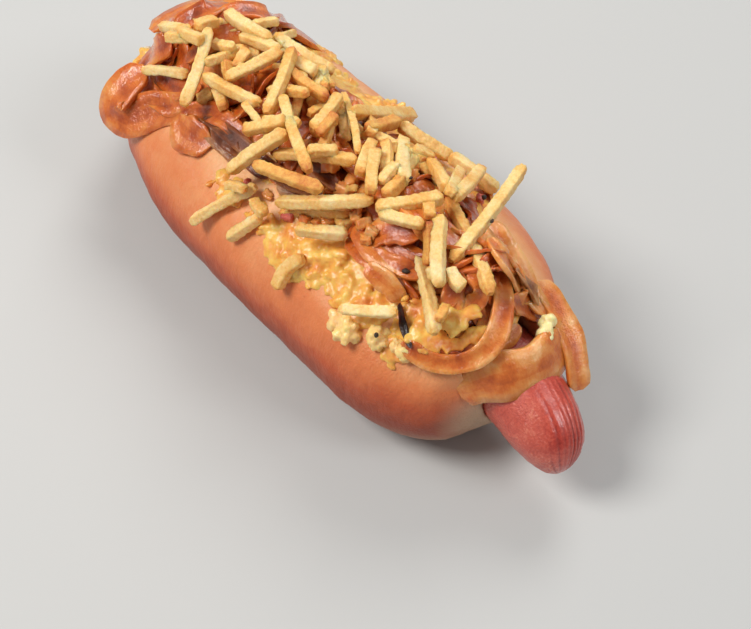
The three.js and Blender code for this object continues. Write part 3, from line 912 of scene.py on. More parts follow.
def roughened(tree, geometry, given):
    """Moves a surface in and out along its normals by noise of a grain."""
    place = add(tree, "GeometryNodeInputPosition").outputs[0]
    scale = add(tree, "ShaderNodeMath", {"operation": "DIVIDE"}, {0: 1.0, 1: given["Grain"]})
    wobble = add(
        tree,
        "ShaderNodeTexNoise",
        links={"Vector": place, "Scale": scale.outputs[0], "Detail": 2.0, "Roughness": 0.5},
    )
    centred = add(tree, "ShaderNodeMath", {"operation": "SUBTRACT"}, {0: wobble.outputs[0], 1: 0.5})
    reach = add(
        tree, "ShaderNodeMath", {"operation": "MULTIPLY"}, {0: centred.outputs[0], 1: given["Unevenness"]}
    )
    outward = add(tree, "GeometryNodeInputNormal").outputs[0]
    offset = add(
        tree, "ShaderNodeVectorMath", {"operation": "SCALE"}, {0: outward, "Scale": reach.outputs[0]}
    )
    return add(
        tree, "GeometryNodeSetPosition", links={"Geometry": geometry, "Offset": offset.outputs[0]}
    ).outputs[0]


def band_tree(name, material):
    """A band along each path: a slice of onion or a potato stick, by its thinness, curl and squareness."""
    inputs = {
        "Step": 0.8 * MM,
        "Thinness": 0.3,
        "Curl": 0.1,
        "Squareness": 0.6,
        "Unevenness": 0.5 * MM,
        "Grain": 3 * MM,
    }
    tree, given = new_tree(name, inputs)
    path = add(tree, "GeometryNodeMeshToCurve", links={"Mesh": given["Geometry"]})
    path = add(
        tree,
        "GeometryNodeResampleCurve",
        {"mode": "LENGTH"},
        {"Curve": path.outputs[0], "Length": given["Step"]},
    )
    lie = add(tree, "GeometryNodeInputNamedAttribute", {"data_type": "FLOAT_VECTOR"}, {"Name": "lie"})
    path = add(
        tree,
        "GeometryNodeSetCurveNormal",
        {"mode": "FREE"},
        {"Curve": path.outputs[0], "Normal": lie.outputs[0]},
    )
    place = add(tree, "GeometryNodeSplineParameter").outputs
    for key, value in (("along", place["Factor"]), ("run", place["Length"])):
        path = add(
            tree,
            "GeometryNodeStoreNamedAttribute",
            {"data_type": "FLOAT", "domain": "POINT"},
            {"Geometry": path.outputs[0], "Name": key, "Value": value},
        )

    ring = add(tree, "GeometryNodeCurvePrimitiveCircle", links={"Resolution": 24, "Radius": 0.5})
    spot = add(tree, "GeometryNodeInputPosition").outputs[0]
    split = add(tree, "ShaderNodeSeparateXYZ", links={0: spot}).outputs
    sizes = [add(tree, "ShaderNodeMath", {"operation": "ABSOLUTE"}, {0: split[n]}).outputs[0] for n in (0, 1)]
    largest = add(tree, "ShaderNodeMath", {"operation": "MAXIMUM"}, {0: sizes[0], 1: sizes[1]})
    share = add(tree, "ShaderNodeMath", {"operation": "MULTIPLY"}, {0: largest.outputs[0], 1: 2.0})
    corner = add(
        tree, "ShaderNodeMath", {"operation": "MULTIPLY"}, {0: given["Squareness"], 1: -1.0}
    )
    swell = add(tree, "ShaderNodeMath", {"operation": "POWER"}, {0: share.outputs[0], 1: corner.outputs[0]})
    wide = add(tree, "ShaderNodeMath", {"operation": "MULTIPLY"}, {0: split[1], 1: swell.outputs[0]})
    thick = add(tree, "ShaderNodeMath", {"operation": "MULTIPLY"}, {0: split[0], 1: swell.outputs[0]})
    thick = add(tree, "ShaderNodeMath", {"operation": "MULTIPLY"}, {0: thick.outputs[0], 1: given["Thinness"]})
    arch = add(tree, "ShaderNodeMath", {"operation": "MULTIPLY"}, {0: wide.outputs[0], 1: wide.outputs[0]})
    arch = add(tree, "ShaderNodeMath", {"operation": "MULTIPLY"}, {0: arch.outputs[0], 1: given["Curl"]})
    thick = add(
        tree, "ShaderNodeMath", {"operation": "MULTIPLY_ADD"}, {0: arch.outputs[0], 1: -4.0, 2: thick.outputs[0]}
    )
    spot = add(tree, "ShaderNodeCombineXYZ", links={0: thick.outputs[0], 1: wide.outputs[0]})
    ring = add(
        tree, "GeometryNodeSetPosition", links={"Geometry": ring.outputs[0], "Position": spot.outputs[0]}
    )
    spread = add(tree, "ShaderNodeMath", {"operation": "MULTIPLY"}, {0: wide.outputs[0], 1: 2.0})
    ring = add(
        tree,
        "GeometryNodeStoreNamedAttribute",
        {"data_type": "FLOAT", "domain": "POINT"},
        {"Geometry": ring.outputs[0], "Name": "across", "Value": spread.outputs[0]},
    )

    width = add(tree, "GeometryNodeInputNamedAttribute", {"data_type": "FLOAT"}, {"Name": "width"})
    band = add(
        tree,
        "GeometryNodeCurveToMesh",
        links={
            "Curve": path.outputs[0],
            "Profile Curve": ring.outputs[0],
            "Scale": width.outputs[0],
            "Fill Caps": True,
        },
    )
    return end_tree(tree, roughened(tree, band.outputs[0], given), material)


def curd_tree(name, material):
    """Lumps at points, each of its own size, melted together into one skin."""
    inputs = {"Voxel": 0.5 * MM, "Unevenness": 0.8 * MM, "Grain": 2.0 * MM}
    tree, given = new_tree(name, inputs)
    ball = add(tree, "GeometryNodeMeshIcoSphere", links={"Radius": 1.0, "Subdivisions": 2})
    size = add(tree, "GeometryNodeInputNamedAttribute", {"data_type": "FLOAT_VECTOR"}, {"Name": "size"})
    turn = add(tree, "GeometryNodeInputNamedAttribute", {"data_type": "FLOAT_VECTOR"}, {"Name": "turn"})
    turned = add(tree, "FunctionNodeEulerToRotation", links={0: turn.outputs[0]})
    heap_of = add(
        tree,
        "GeometryNodeInstanceOnPoints",
        links={
            "Points": given["Geometry"],
            "Instance": ball.outputs[0],
            "Rotation": turned.outputs[0],
            "Scale": size.outputs[0],
        },
    )
    real = add(tree, "GeometryNodeRealizeInstances", links={"Geometry": heap_of.outputs[0]})
    cloud = add(
        tree,
        "GeometryNodeMeshToVolume",
        {"resolution_mode": "VOXEL_SIZE"},
        {"Mesh": real.outputs[0], "Voxel Size": given["Voxel"], "Interior Band Width": 1.5 * MM},
    )
    skin = add(
        tree,
        "GeometryNodeVolumeToMesh",
        {"resolution_mode": "VOXEL_SIZE"},
        {"Volume": cloud.outputs[0], "Voxel Size": given["Voxel"], "Threshold": 0.1},
    )
    return end_tree(tree, roughened(tree, skin.outputs[0], given), material)


def scatter_tree(name, material, chunky):
    """Small separate grains or diced chunks at points, each of its own size and turn."""
    tree, given = new_tree(name, {"Unevenness": 0.3 * MM, "Grain": 0.6 * MM})
    if chunky:
        count = {"Vertices X": 5, "Vertices Y": 5, "Vertices Z": 5}
        grain = add(tree, "GeometryNodeMeshCube", links={"Size": (1.7, 1.7, 1.7), **count})
    else:
        grain = add(tree, "GeometryNodeMeshIcoSphere", links={"Radius": 1.0, "Subdivisions": 2})
    size = add(tree, "GeometryNodeInputNamedAttribute", {"data_type": "FLOAT_VECTOR"}, {"Name": "size"})
    turn = add(tree, "GeometryNodeInputNamedAttribute", {"data_type": "FLOAT_VECTOR"}, {"Name": "turn"})
    turned = add(tree, "FunctionNodeEulerToRotation", links={0: turn.outputs[0]})
    grains = add(
        tree,
        "GeometryNodeInstanceOnPoints",
        links={
            "Points": given["Geometry"],
            "Instance": grain.outputs[0],
            "Rotation": turned.outputs[0],
            "Scale": size.outputs[0],
        },
    )
    real = add(tree, "GeometryNodeRealizeInstances", links={"Geometry": grains.outputs[0]})
    return end_tree(tree, roughened(tree, real.outputs[0], given), material)


def run_tree(made, tree, values):
    """Runs a tree on an object with its named inputs, and keeps the plain mesh that comes out."""
    modifier = made.modifiers.new(tree.name, "NODES")
    modifier.node_group = tree
    for item in tree.interface.items_tree:
        if item.in_out == "INPUT" and item.name in values:
            modifier[item.identifier] = values[item.name]
    return applied(made)


def guide_object(name, points, edges, attributes):
    """A mesh of points in millimetres, with attributes, for a tree to work on."""
    mesh = bpy.data.meshes.new(name)
    mesh.from_pydata((np.asarray(points, float) * MM).tolist(), edges, [])
    for key, values in attributes.items():
        values = np.asarray(values, np.float32)
        kind = "FLOAT_VECTOR" if values.ndim == 2 else "FLOAT"
        stored = mesh.attributes.new(key, kind, "POINT")
        stored.data.foreach_set("vector" if values.ndim == 2 else "value", values.ravel())
    made = bpy.data.objects.new(name, mesh)
    bpy.context.scene.collection.objects.link(made)
    return made


# ---- what lies on the heap

HEART_REACH = (-62, 66)


def radial(points):
    """The direction away from the heart of the bun at each point."""
    heart = np.zeros_like(points)
    heart[:, 0] = np.clip(points[:, 0], *HEART_REACH)
    heart[:, 2] = BUN_WAIST_HEIGHT
    out = points - heart
    return out / np.linalg.norm(out, axis=1, keepdims=True)


class Band:
    """One band: its path, the direction that its flat side faces, its width along the path and its tint."""

    def __init__(self, path, lie, width, thickness, tint=0.0, tip=0.5, twist=0.0):
        self.path = path
        share = np.linspace(-1, 1, len(path))
        wave = 1 + 0.08 * np.sin(7 * share + path[0, 0])
        self.width = width * wave * (1 - tip * np.abs(share) ** 3)
        self.width = self.width * np.clip((1 - np.abs(share)) / 0.1, 0.2, 1) ** 0.5
        self.thickness, self.tint = thickness, tint
        tangents = np.gradient(path, axis=0)
        side = np.cross(lie, tangents)
        side /= np.linalg.norm(side, axis=1, keepdims=True) + 1e-9
        turn = twist * np.sin(2.6 * share + path[0, 1])
        self.lie = lie * np.cos(turn)[:, None] + side * np.sin(turn)[:, None]

    def top(self):
        """Points on the band's upper side, to stamp on the heap."""
        tangents = np.gradient(self.path, axis=0)
        side = np.cross(self.lie, tangents)
        side /= np.linalg.norm(side, axis=1, keepdims=True) + 1e-9
        rows = []
        for share in np.linspace(-0.5, 0.5, 17):
            rows.append(self.path + side * (share * self.width)[:, None] + self.lie * self.thickness * 0.45)
        return np.vstack(rows)


def make_bands(name, bands, tree, values):
    points, edges, lie, width, tint = [], [], [], [], []
    for band in bands:
        start = len(points)
        points += band.path.tolist()
        edges += [(start + i, start + i + 1) for i in range(len(band.path) - 1)]
        lie += band.lie.tolist()
        width += (band.width * MM).tolist()
        tint += [band.tint] * len(band.path)
    made = guide_object(name, points, edges, {"lie": lie, "width": width, "tint": tint})
    return run_tree(made, tree, values)


def make_grains(name, grains, tree, values):
    """Grains as (place, half sizes, turn) rows."""
    points = [place for place, _, _ in grains]
    sizes = [[half * MM for half in halves] for _, halves, _ in grains]
    turns = [turn for _, _, turn in grains]
    return run_tree(guide_object(name, points, [], {"size": sizes, "turn": turns}), tree, values)


def layer_top(x, y, low, high, half_width, rise, lump, grain, seed):
    """The height of a lumpy layer of the topping."""
    middle, half = (low + high) / 2, (high - low) / 2
    end = np.sqrt(np.maximum(1 - np.abs((x - middle) / half) ** 4, 0))
    share = np.clip(np.abs(y) / (half_width + 3), 0, 1)
    mound = rise * (0.35 + 0.65 * end) * (1 - share**2) ** 0.7
    rough = lumps(np.stack([x, y, 0 * x], 1), grain, seed)
    return np.maximum(bun_top(x, y), 31) + mound + lump * (1 + rough)


def make_bed(name, low, high, half_width, rise, lump, grain, ragged, seed, material):
    """A closed lumpy core for a heap of separate things."""
    rows, columns = 190, 76
    middle, half = (low + high) / 2, (high - low) / 2
    x = middle + half * np.sin(np.linspace(-0.5, 0.5, rows) * math.pi)
    end = np.sqrt(np.maximum(1 - np.abs((x - middle) / half) ** 4, 0))
    edges = [
        (half_width + ragged * lumps(np.stack([x, 0 * x + 17 * side, 0 * x], 1), grain, seed)) * end + 1
        for side in (-1, 1)
    ]
    across = np.linspace(-1, 1, columns)
    grid_x = np.repeat(x, columns)
    grid_y = np.concatenate([np.where(across < 0, across * a, across * b) for a, b in zip(*edges)])
    top = layer_top(grid_x, grid_y, low, high, half_width, rise, lump, grain, seed)
    rim = smoothstep(1 - np.abs(np.tile(across, rows)), 0, 0.16)
    tail = smoothstep(half - np.abs(grid_x - middle), 0, 5)
    base = bun_top(grid_x, grid_y) - 1.5
    top = base + (top - base) * rim * tail
    upper = np.stack([grid_x, grid_y, top], 1)
    lower = np.stack([grid_x, grid_y, np.minimum(top - 0.3, 30)], 1)
    faces, count = [], rows * columns
    for i in range(rows - 1):
        for j in range(columns - 1):
            a, b = i * columns + j, (i + 1) * columns + j
            faces.append((a, b, b + 1, a + 1))
            faces.append((count + a, count + a + 1, count + b + 1, count + b))
    rim_loop = [j for j in range(columns)] + [i * columns + columns - 1 for i in range(1, rows)]
    rim_loop += [(rows - 1) * columns + j for j in range(columns - 2, -1, -1)]
    rim_loop += [i * columns for i in range(rows - 2, 0, -1)]
    for a, b in zip(rim_loop, rim_loop[1:] + rim_loop[:1]):
        faces.append((a, b, count + b, count + a))
    bed = to_object(name, np.vstack([upper, lower]), faces, material)
    faces_outwards(bed)
    return bed, upper


def draped(heap, flat, lift, stiffness=6.0):
    """A path that lies on the heap above a line on the plan, sagging less than the heap's hollows."""
    under = heap.at(flat[:, 0], flat[:, 1])
    step = np.linalg.norm(np.diff(flat, axis=0), axis=1).mean()
    reach = max(1, int(stiffness / step))
    window = np.hanning(2 * reach + 3)[1:-1]
    padded = np.pad(under, reach, mode="edge")
    smooth = np.convolve(padded, window / window.sum(), mode="valid")
    height = 0.35 * under + 0.65 * smooth + lift
    return np.column_stack([flat, height])


def smooth_lie(heap, path):
    lie = np.array([heap.normal(x, y, 3.5) for x, y, _ in path])
    for _ in range(12):
        lie[1:-1] = (lie[:-2] + lie[1:-1] + lie[2:]) / 3
    return lie / np.linalg.norm(lie, axis=1, keepdims=True)

# ---- what the photograph shows of the topping, from its pixels

STICK_BITE = 1.4
HEAP_CEILING = 65.4
TWIST = 0.28
STACK_LIMIT = 5.5
STREWN_CEILING = 55.5
LOWEST_CHEESE = 23

# Slices of onion that stand for a solid each: width, thickness, tint, tip, curl, roll, path. A slice
# with a negative curl has raised rims, and a roll turns its flat side about its path.
ONION_SLICES = {
    "onion_front_loop": (
        5.6, 2.4, 0.1, 0.15, -0.12, 0,
        [(65.2, -22, 43.4), (68.9, -21, 41.6), (73.6, -18.2, 40.3), (76.8, -14.3, 40.3),
         (78.9, -9.7, 41.5), (78.9, -5.1, 44), (77, -1.2, 46.4), (73.4, 2.6, 48.5), (68.7, 5.7, 50),
         (63.4, 8, 51.5), (57, 9.9, 52.5), (50.2, 11.5, 53)],
    ),
    "onion_saddle": (
        12.8, 2.6, 0.1, 0.2, 0.05, 0,
        [(79, -14.6, 31), (81.8, -10.6, 34), (84.8, -6.2, 36.5), (87.4, -0.1, 37.5), (87.8, 6.4, 37),
         (86.1, 12.2, 36.5), (83.2, 15.4, 37.8)],
    ),
    "onion_side_upper": (
        7, 2, 0.16, 0.5, -0.1, -30,
        [(51.1, 16.7, 50), (57.4, 15.5, 49.5), (64.1, 14.1, 48), (69.9, 13.7, 45), (74.6, 14.2, 42),
         (78.1, 14.9, 40)],
    ),
    "onion_side_lower": (
        7.5, 2.2, 0.1, 0.3, -0.08, -35,
        [(70.4, 17.8, 43), (76.3, 18.6, 40.5), (82.4, 17.9, 37.5), (88.2, 16.5, 34), (92.5, 14.8, 30),
         (95.2, 13.5, 26.5)],
    ),
    "onion_far_fold": (
        11.5, 2.2, -0.04, 0.2, -0.1, 0,
        [(-57, -23, 45), (-58, -30, 40.5), (-57, -35.5, 35.5), (-52, -34, 34.5), (-46, -28, 39),
         (-35, -22, 45.5)],
    ),
    "onion_far_drape": (
        12, 2.4, 0.0, 0.3, -0.06, 0,
        [(-73, -12, 43), (-72, 1, 45.5), (-66, 11, 46), (-57, 17, 45.5), (-46, 23, 43), (-38, 27, 40)],
    ),
    "onion_flap": (
        11, 2, 0.0, 0.9, -0.12, 0,
        [(-34.9, -25.4, 45), (-31.9, -26.6, 43.8), (-27.9, -26.7, 43.4), (-23.5, -25.9, 44.2),
         (-19.4, -24.4, 45)],
    ),
    "onion_petal": (
        10, 2.2, 0.05, 0.6, -0.1, 0,
        [(34, -14, 53), (42, -14, 53.2), (50, -12, 53.4), (58, -9, 53.4)],
    ),
}
DARK_SLICE = (
    4.6, 2.4, 0.0, 0.5, -0.05, 0,
    [(-27, -22, 48.5), (-15, -21, 50.5), (-2, -20, 51), (10, -18.5, 51.5), (20, -15, 53)],
)

# Further slices, by pixels along their middle: width, thickness, tint, lift, pixels.
AMBER_SLICES = [
    (9, 2.2, -0.05, 1.0, [(171, 42), (158, 52), (148, 66), (142, 78)]),
    (7, 2.0, -0.1, 1.2, [(176, 30), (192, 18), (208, 10), (226, 8), (240, 16)]),
    (8, 2.2, -0.12, 1.4, [(214, 24), (234, 12), (254, 12), (272, 19), (290, 27)]),
    (7, 2.2, -0.05, 1.6, [(186, 62), (205, 46), (226, 36), (250, 34), (268, 44)]),
    (6, 2.0, -0.02, 1.6, [(148, 76), (150, 92), (160, 104), (176, 107), (190, 100)]),
    (7, 2.2, -0.08, 1.4, [(160, 70), (172, 86), (184, 92), (200, 90)]),
    (6, 2.0, -0.1, 1.4, [(181, 112), (201, 110), (222, 118), (238, 132), (248, 146)]),
    (7, 2.2, -0.12, 1.0, [(312, 166), (324, 180), (336, 192)]),
    (6, 2.2, 0.0, 1.4, [(340, 150), (352, 166), (366, 172), (384, 168)]),
    (8, 2.4, 0.0, 2.2, [(371, 246), (382, 234), (400, 230), (421, 236)]),
    (6.5, 2.2, -0.02, 2.0, [(348, 238), (364, 252), (381, 261), (400, 267), (416, 268)]),
    (6, 2.0, 0.1, 1.6, [(366, 266), (382, 278), (394, 290), (400, 303)]),
    (6, 2.2, 0.0, 0.6, [(461, 272), (453, 292), (452, 312), (458, 330)]),
    (5, 2.2, 0.02, 0.8, [(468, 274), (480, 288), (474, 304), (462, 316), (446, 326)]),
    (6, 2.0, 0.0, 0.4, [(430, 214), (444, 232), (452, 252), (448, 270)]),
    (6, 2.0, 0.15, 1.2, [(476, 184), (490, 194), (500, 206)]),
    (7, 2.0, 0.16, 1.2, [(490, 238), (502, 258), (514, 278), (530, 294)]),
    (6, 2.2, -0.05, 1.2, [(512, 300), (528, 308), (544, 320)]),
    (6, 2.2, 0.1, 1.0, [(470, 338), (486, 342), (504, 338), (520, 326)]),
    (5, 2.0, -0.05, 1.2, [(420, 320), (432, 336), (444, 346)]),
    (6.5, 2.2, 0.0, 1.4, [(392, 202), (410, 210), (424, 226), (430, 244)]),
]
DARK_SLICES = [
    (4.4, 2.2, 0.15, 1.0, [(194, 120), (213, 136), (228, 152), (240, 166)]),
    (5, 2.0, 0.0, 1.2, [(212, 130), (232, 144), (250, 160), (268, 178)]),
    (6, 2.2, 0.15, 1.2, [(278, 182), (298, 192), (322, 196)]),
    (4, 2.0, -0.1, 1.4, [(238, 142), (250, 154), (262, 164)]),
    (4.5, 1.8, 0.2, 1.0, [(516, 270), (528, 286), (540, 302), (548, 316)]),
    (5, 2.0, 0.05, 1.0, [(300, 158), (318, 170), (338, 190)]),
]

# A charred strip that lies against the front loop.
CHARRED_STRIP = (2.0, 1.6, -0.36, 0.9, [(400, 303), (402, 317), (405, 332), (411, 348)])

# A slice that lines the front loop: pixels and heights along its middle.
LOOP_LINING = [
    (414, 334, 43.5), (420, 346, 42), (440, 356, 40.8), (462, 354, 41), (480, 342, 42.8), (489, 324, 45),
    (492, 302, 47), (486, 282, 48.5),
]

# Melted cheese that lies thick or has run out: pixel, reach and thickness in millimetres.
CHEESE_PATCHES = [
    (222, 180, 3, 1.0), (230, 188, 3.5, 1.6), (240, 194, 2.5, 1.2), (258, 212, 2.5, 0.8), (268, 222, 2.5, 0.8), (280, 228, 3, 1.0),
    (292, 234, 7, 2.2), (304, 246, 8, 3.0), (322, 250, 8, 3.4), (338, 258, 7, 3.2), (350, 262, 5, 2.8),
    (284, 252, 2.5, 0.8), (296, 268, 2.5, 1.0), (312, 232, 6, 2.6), (330, 236, 5, 2.2), (352, 276, 6, 2.4), (362, 290, 6, 2.6),
    (372, 298, 5, 2.4), (350, 292, 5, 2.2), (376, 312, 5, 2.2), (400, 340, 4, 1.6), (392, 350, 3, 1.6),
    (324, 44, 3, 1.2), (328, 56, 4, 1.4), (334, 72, 4, 1.4), (340, 84, 4, 1.6), (350, 92, 4, 1.6),
    (362, 98, 4, 1.6), (374, 104, 4, 1.8), (386, 106, 4, 1.8), (302, 66, 4, 1.2), (316, 76, 5, 1.4),
    (396, 108, 4, 2.0), (408, 106, 2.5, 1.8), (128, 84, 4, 1.8), (134, 68, 3, 1.8), (148, 50, 3, 1.8),
    (129, 52, 2.2, 1.6), (438, 180, 5, 1.6), (470, 200, 5, 1.4),
]
FRONT_CHEESE = [
    (418, 330, 4, 0.8), (430, 338, 3, 0.6), (412, 318, 4, 0.8), (424, 318, 4, 0.6), (474, 322, 3, 0.6),
    (440, 330, 4, 0.6), (454, 336, 3, 0.5),
]

# Potato sticks that stand for a solid each: pixels of their ends, thickness, bow, tint.
NAMED_STICKS = {
    "potato_stick_flank_far": ((191, 222), (256, 187), 3.4, 0.6, -0.05),
    "potato_stick_flank_mid": ((228, 238), (261, 216), 3.3, 0.2, -0.02),
    "potato_stick_flank_near": ((276, 289), (303, 258), 3.6, 1.4, 0.05),
    "potato_stick_cheese": ((339, 309), (397, 312), 3.2, 0.3, -0.1),
    "potato_stick_front": ((417, 256), (435, 334), 3.4, 0.5, -0.04),
    "potato_stick_overhang": ((451, 261), (524, 166), 3.3, 0.6, 0.0),
}
# The stick that leans over the front of the heap: pixels and heights of its ends, thickness, bow, tint.
LEANING_STICK = ((447, 198, 56.6), (491, 294, 56.0), 3.6, 0.8, 0.05)

LAID_LAST = ("potato_stick_overhang",)
# These two bear on few points, so the heights of their ends are given.
STICK_HEIGHTS = {"potato_stick_front": (54, 51), "potato_stick_overhang": (57.6, 61.8)}

# The sticks of the tangle from the lowest up: pixels of their ends, thickness, bow, tint.
TANGLE_STICKS = [
    (161, 26, 190, 30, 3.2, 0.4, 0.0), (143, 70, 188, 75, 3.3, 0.6, -0.06), (180, 30, 203, 41, 3.6, 0.3, 0.06),
    (166, 36, 192, 38, 3.4, 0.4, 0.03), (204, 63, 244, 48, 3.3, 0.4, 0.03), (213, 43, 234, 48, 3.0, 0.2, -0.03),
    (198, 101, 213, 91, 3.4, 0.2, 0.05), (216, 90, 223, 108, 3.6, 0.4, 0.03), (234, 72, 248, 49, 3.2, 0.2, 0.06),
    (253, 26, 278, 21, 3.2, 0.3, -0.03), (196, 27, 218, 21, 3.6, 0.3, 0.03), (226, 60, 232, 84, 3.0, 0.3, 0.12),
    (274, 35, 334, 72, 3.6, 0.8, 0.0), (296, 61, 316, 72, 3.8, 0.2, -0.05), (240, 36, 279, 51, 3.4, 0.4, -0.03),
    (288, 70, 328, 98, 3.2, 0.5, 0.2), (268, 90, 308, 94, 3.2, 0.5, 0.06), (204, 75, 261, 104, 3.4, 0.8, 0.02),
    (281, 51, 226, 78, 3.4, 0.5, -0.02), (226, 12, 272, 40, 3.6, 0.7, 0.0), (209, 28, 183, 106, 3.4, 0.7, -0.06),
    (293, 48, 267, 114, 3.4, 0.5, 0.04), (243, 103, 269, 138, 2.2, 0.4, 0.02), (243, 130, 287, 120, 3.4, 0.5, 0.1),
    (262, 122, 300, 124, 3.2, 0.4, 0.06), (313, 135, 336, 118, 3.4, 0.3, 0.12), (322, 148, 330, 124, 3.0, 0.3, 0.1),
    (340, 95, 312, 130, 3.6, 0.4, 0.04), (318, 134, 336, 114, 3.2, 0.2, 0.22), (351, 112, 414, 115, 4.0, 0.6, 0.03),
    (399, 124, 452, 158, 4.0, 0.6, 0.0), (450, 156, 497, 191, 3.8, 0.5, -0.02), (343, 93, 358, 153, 2.2, 0.8, 0.03),
    (274, 154, 356, 161, 3.4, 0.6, 0.08), (228, 172, 287, 132, 3.5, 0.6, 0.0), (283, 96, 309, 171, 3.5, 0.6, 0.03),
    (307, 152, 338, 151, 3.4, 0.3, -0.03), (280, 213, 350, 212, 3.2, 0.5, 0.06), (254, 164, 322, 189, 3.5, 0.4, 0.14),
    (253, 200, 266, 214, 3.2, 0.4, 0.08), (225, 184, 246, 190, 2.8, 0.3, 0.0), (296, 229, 347, 233, 3.5, 0.5, -0.04),
    (360, 174, 373, 141, 3.4, 0.4, 0.04), (386, 140, 385, 173, 3.2, 0.5, 0.03), (371, 193, 376, 150, 3.6, 0.4, 0.03),
    (381, 183, 398, 164, 3.2, 0.2, -0.03), (385, 196, 403, 178, 3.6, 0.2, 0.2), (413, 148, 433, 158, 3.4, 0.3, 0.06),
    (429, 160, 447, 190, 3.4, 0.4, 0.08), (460, 170, 450, 194, 3.4, 0.2, 0.0), (276, 202, 373, 200, 3.6, 0.7, -0.02),
    (403, 138, 404, 183, 3.6, 0.5, -0.05), (482, 168, 454, 198, 3.5, 0.4, 0.03), (428, 204, 430, 218, 3.2, 0.1, 0.04),
    (380, 213, 424, 224, 3.3, 0.5, 0.0), (376, 208, 443, 197, 3.6, 0.4, -0.01), (428, 221, 429, 266, 3.4, 0.4, 0.2), (430, 266, 434, 280, 3.0, 0.2, -0.06), (449, 268, 463, 289, 3.4, 0.5, -0.03),
    (441, 215, 439, 287, 3.7, 0.5, -0.08), (438, 320, 446, 305, 2.4, 0.2, 0.15),
]

# Sticks below the ones that show, and on the side that is turned away: the plan that they lie in, from low
# to high along the bun and from left to right, and how many.
STREWN_STICKS = [(-54, -36, -9, 4, 11), (-34, 4, -1, 10, 13), (4, 36, 4, 13, 9)]

# Small separate bits: pixel and half size.
BROWN_BITS = [
    (344, 190, 2.2), (352, 182, 2.0), (306, 220, 1.8), (316, 222, 1.8), (328, 220, 2.2), (336, 214, 1.8),
    (364, 224, 1.8), (372, 232, 1.8), (366, 240, 1.6), (418, 166, 1.8), (410, 176, 2.0), (330, 166, 2.2),
    (342, 138, 1.8), (334, 148, 1.8), (268, 196, 1.8), (356, 218, 1.6), (300, 214, 1.6),
]
PALE_BITS = [(345, 222, 2.3), (336, 160, 1.8), (352, 190, 1.6), (392, 150, 1.8), (306, 222, 1.4), (420, 156, 1.6)]
RED_BITS = [(290, 214, 1.9), (248, 184, 1.4), (434, 162, 1.2), (480, 199, 1.6), (416, 160, 1.6)]
PEPPER = [
    (406, 271, 0.8), (376, 335, 0.6), (484, 197, 0.8), (411, 178, 0.5), (492, 221, 0.6), (142, 97, 0.5),
]


def rolled(path, lie, degrees):
    """The direction that a band faces, rolled about its path."""
    tangents = np.gradient(path, axis=0)
    side = np.cross(lie, tangents)
    side /= np.linalg.norm(side, axis=1, keepdims=True)
    return lie * math.cos(math.radians(degrees)) + side * math.sin(math.radians(degrees))


def named_slice(row):
    """A slice through given points, and its shape."""
    width, thickness, tint, tip, curl, roll, points = row
    path = spline(points, len(points) * 9)
    band = Band(path, rolled(path, radial(path), roll), width, thickness, tint, tip)
    return band, {**limp, "Thinness": 0.75 * thickness / width, "Curl": curl}


def band_by_pixels(heap, row):
    """A slice that lies on the heap along its pixels."""
    width, thickness, tint, lift, pixels = row
    points = np.array([heap.seen_at(u, v, lift) for u, v in pixels])
    path = spline(points, len(points) * 8)
    for _ in range(6):
        path[1:-1, 2] = (path[:-2, 2] + 2 * path[1:-1, 2] + path[2:, 2]) / 4
    lie = smooth_lie(heap, path) + radial(path)
    lie /= np.linalg.norm(lie, axis=1, keepdims=True)
    return Band(path, lie, width, thickness, tint, 0.5, TWIST)


def rest_stick(heap, ground, first, second, thickness, bite=STICK_BITE):
    """The ends of a stick on two lines of sight, lifted until it only just bites into what it lies on."""
    half = thickness / 2
    lines = [sight_line(*first), sight_line(*second)]
    highest, ends = [], []
    for pixel, line in zip((first, second), lines):
        highest.append(min(HEAP_CEILING - half, ground.seen_at(*pixel, half)[2] + STACK_LIMIT))
        end = heap.seen_at(*pixel, half)
        ends.append(end + line * max(end[2] - highest[-1], 0))
    shares = np.linspace(0, 1, 41)
    for _ in range(14):
        path = ends[0] + np.outer(shares, ends[1] - ends[0])
        across = np.cross(ends[1] - ends[0], (0, 0, 1))
        across /= np.linalg.norm(across)
        under = np.max([heap.at(path[:, 0] + w * across[0], path[:, 1] + w * across[1]) for w in (-1, 0, 1)], 0)
        depth = under - (path[:, 2] - half) - bite
        worst = int(np.argmax(depth))
        if depth[worst] <= 0.05:
            break
        s = shares[worst]
        for n, part in ((0, 1 - s), (1, s)):
            raised = min(0.7 * depth[worst] * part / ((1 - s) ** 2 + s**2), highest[n] - ends[n][2])
            ends[n] = ends[n] - lines[n] * max(raised, 0)
    return ends


def strewn_stick(heap, spot, heading, length, thickness):
    """The ends of a stick that lies on the heap at a spot of the plan."""
    way = np.array([math.cos(heading), math.sin(heading)]) * length / 2
    shares = np.linspace(-1, 1, 21)
    flat = np.array(spot) + np.outer(shares, way)
    under = heap.at(flat[:, 0], flat[:, 1])
    slope = np.clip(np.polyfit(shares, under, 1)[0], -0.2 * length, 0.2 * length)
    level = min(np.max(under - slope * shares) - STICK_BITE, np.mean(under) + 1.0, STREWN_CEILING) + thickness / 2
    return [np.array([*(spot + side * way), level + side * slope]) for side in (-1, 1)]


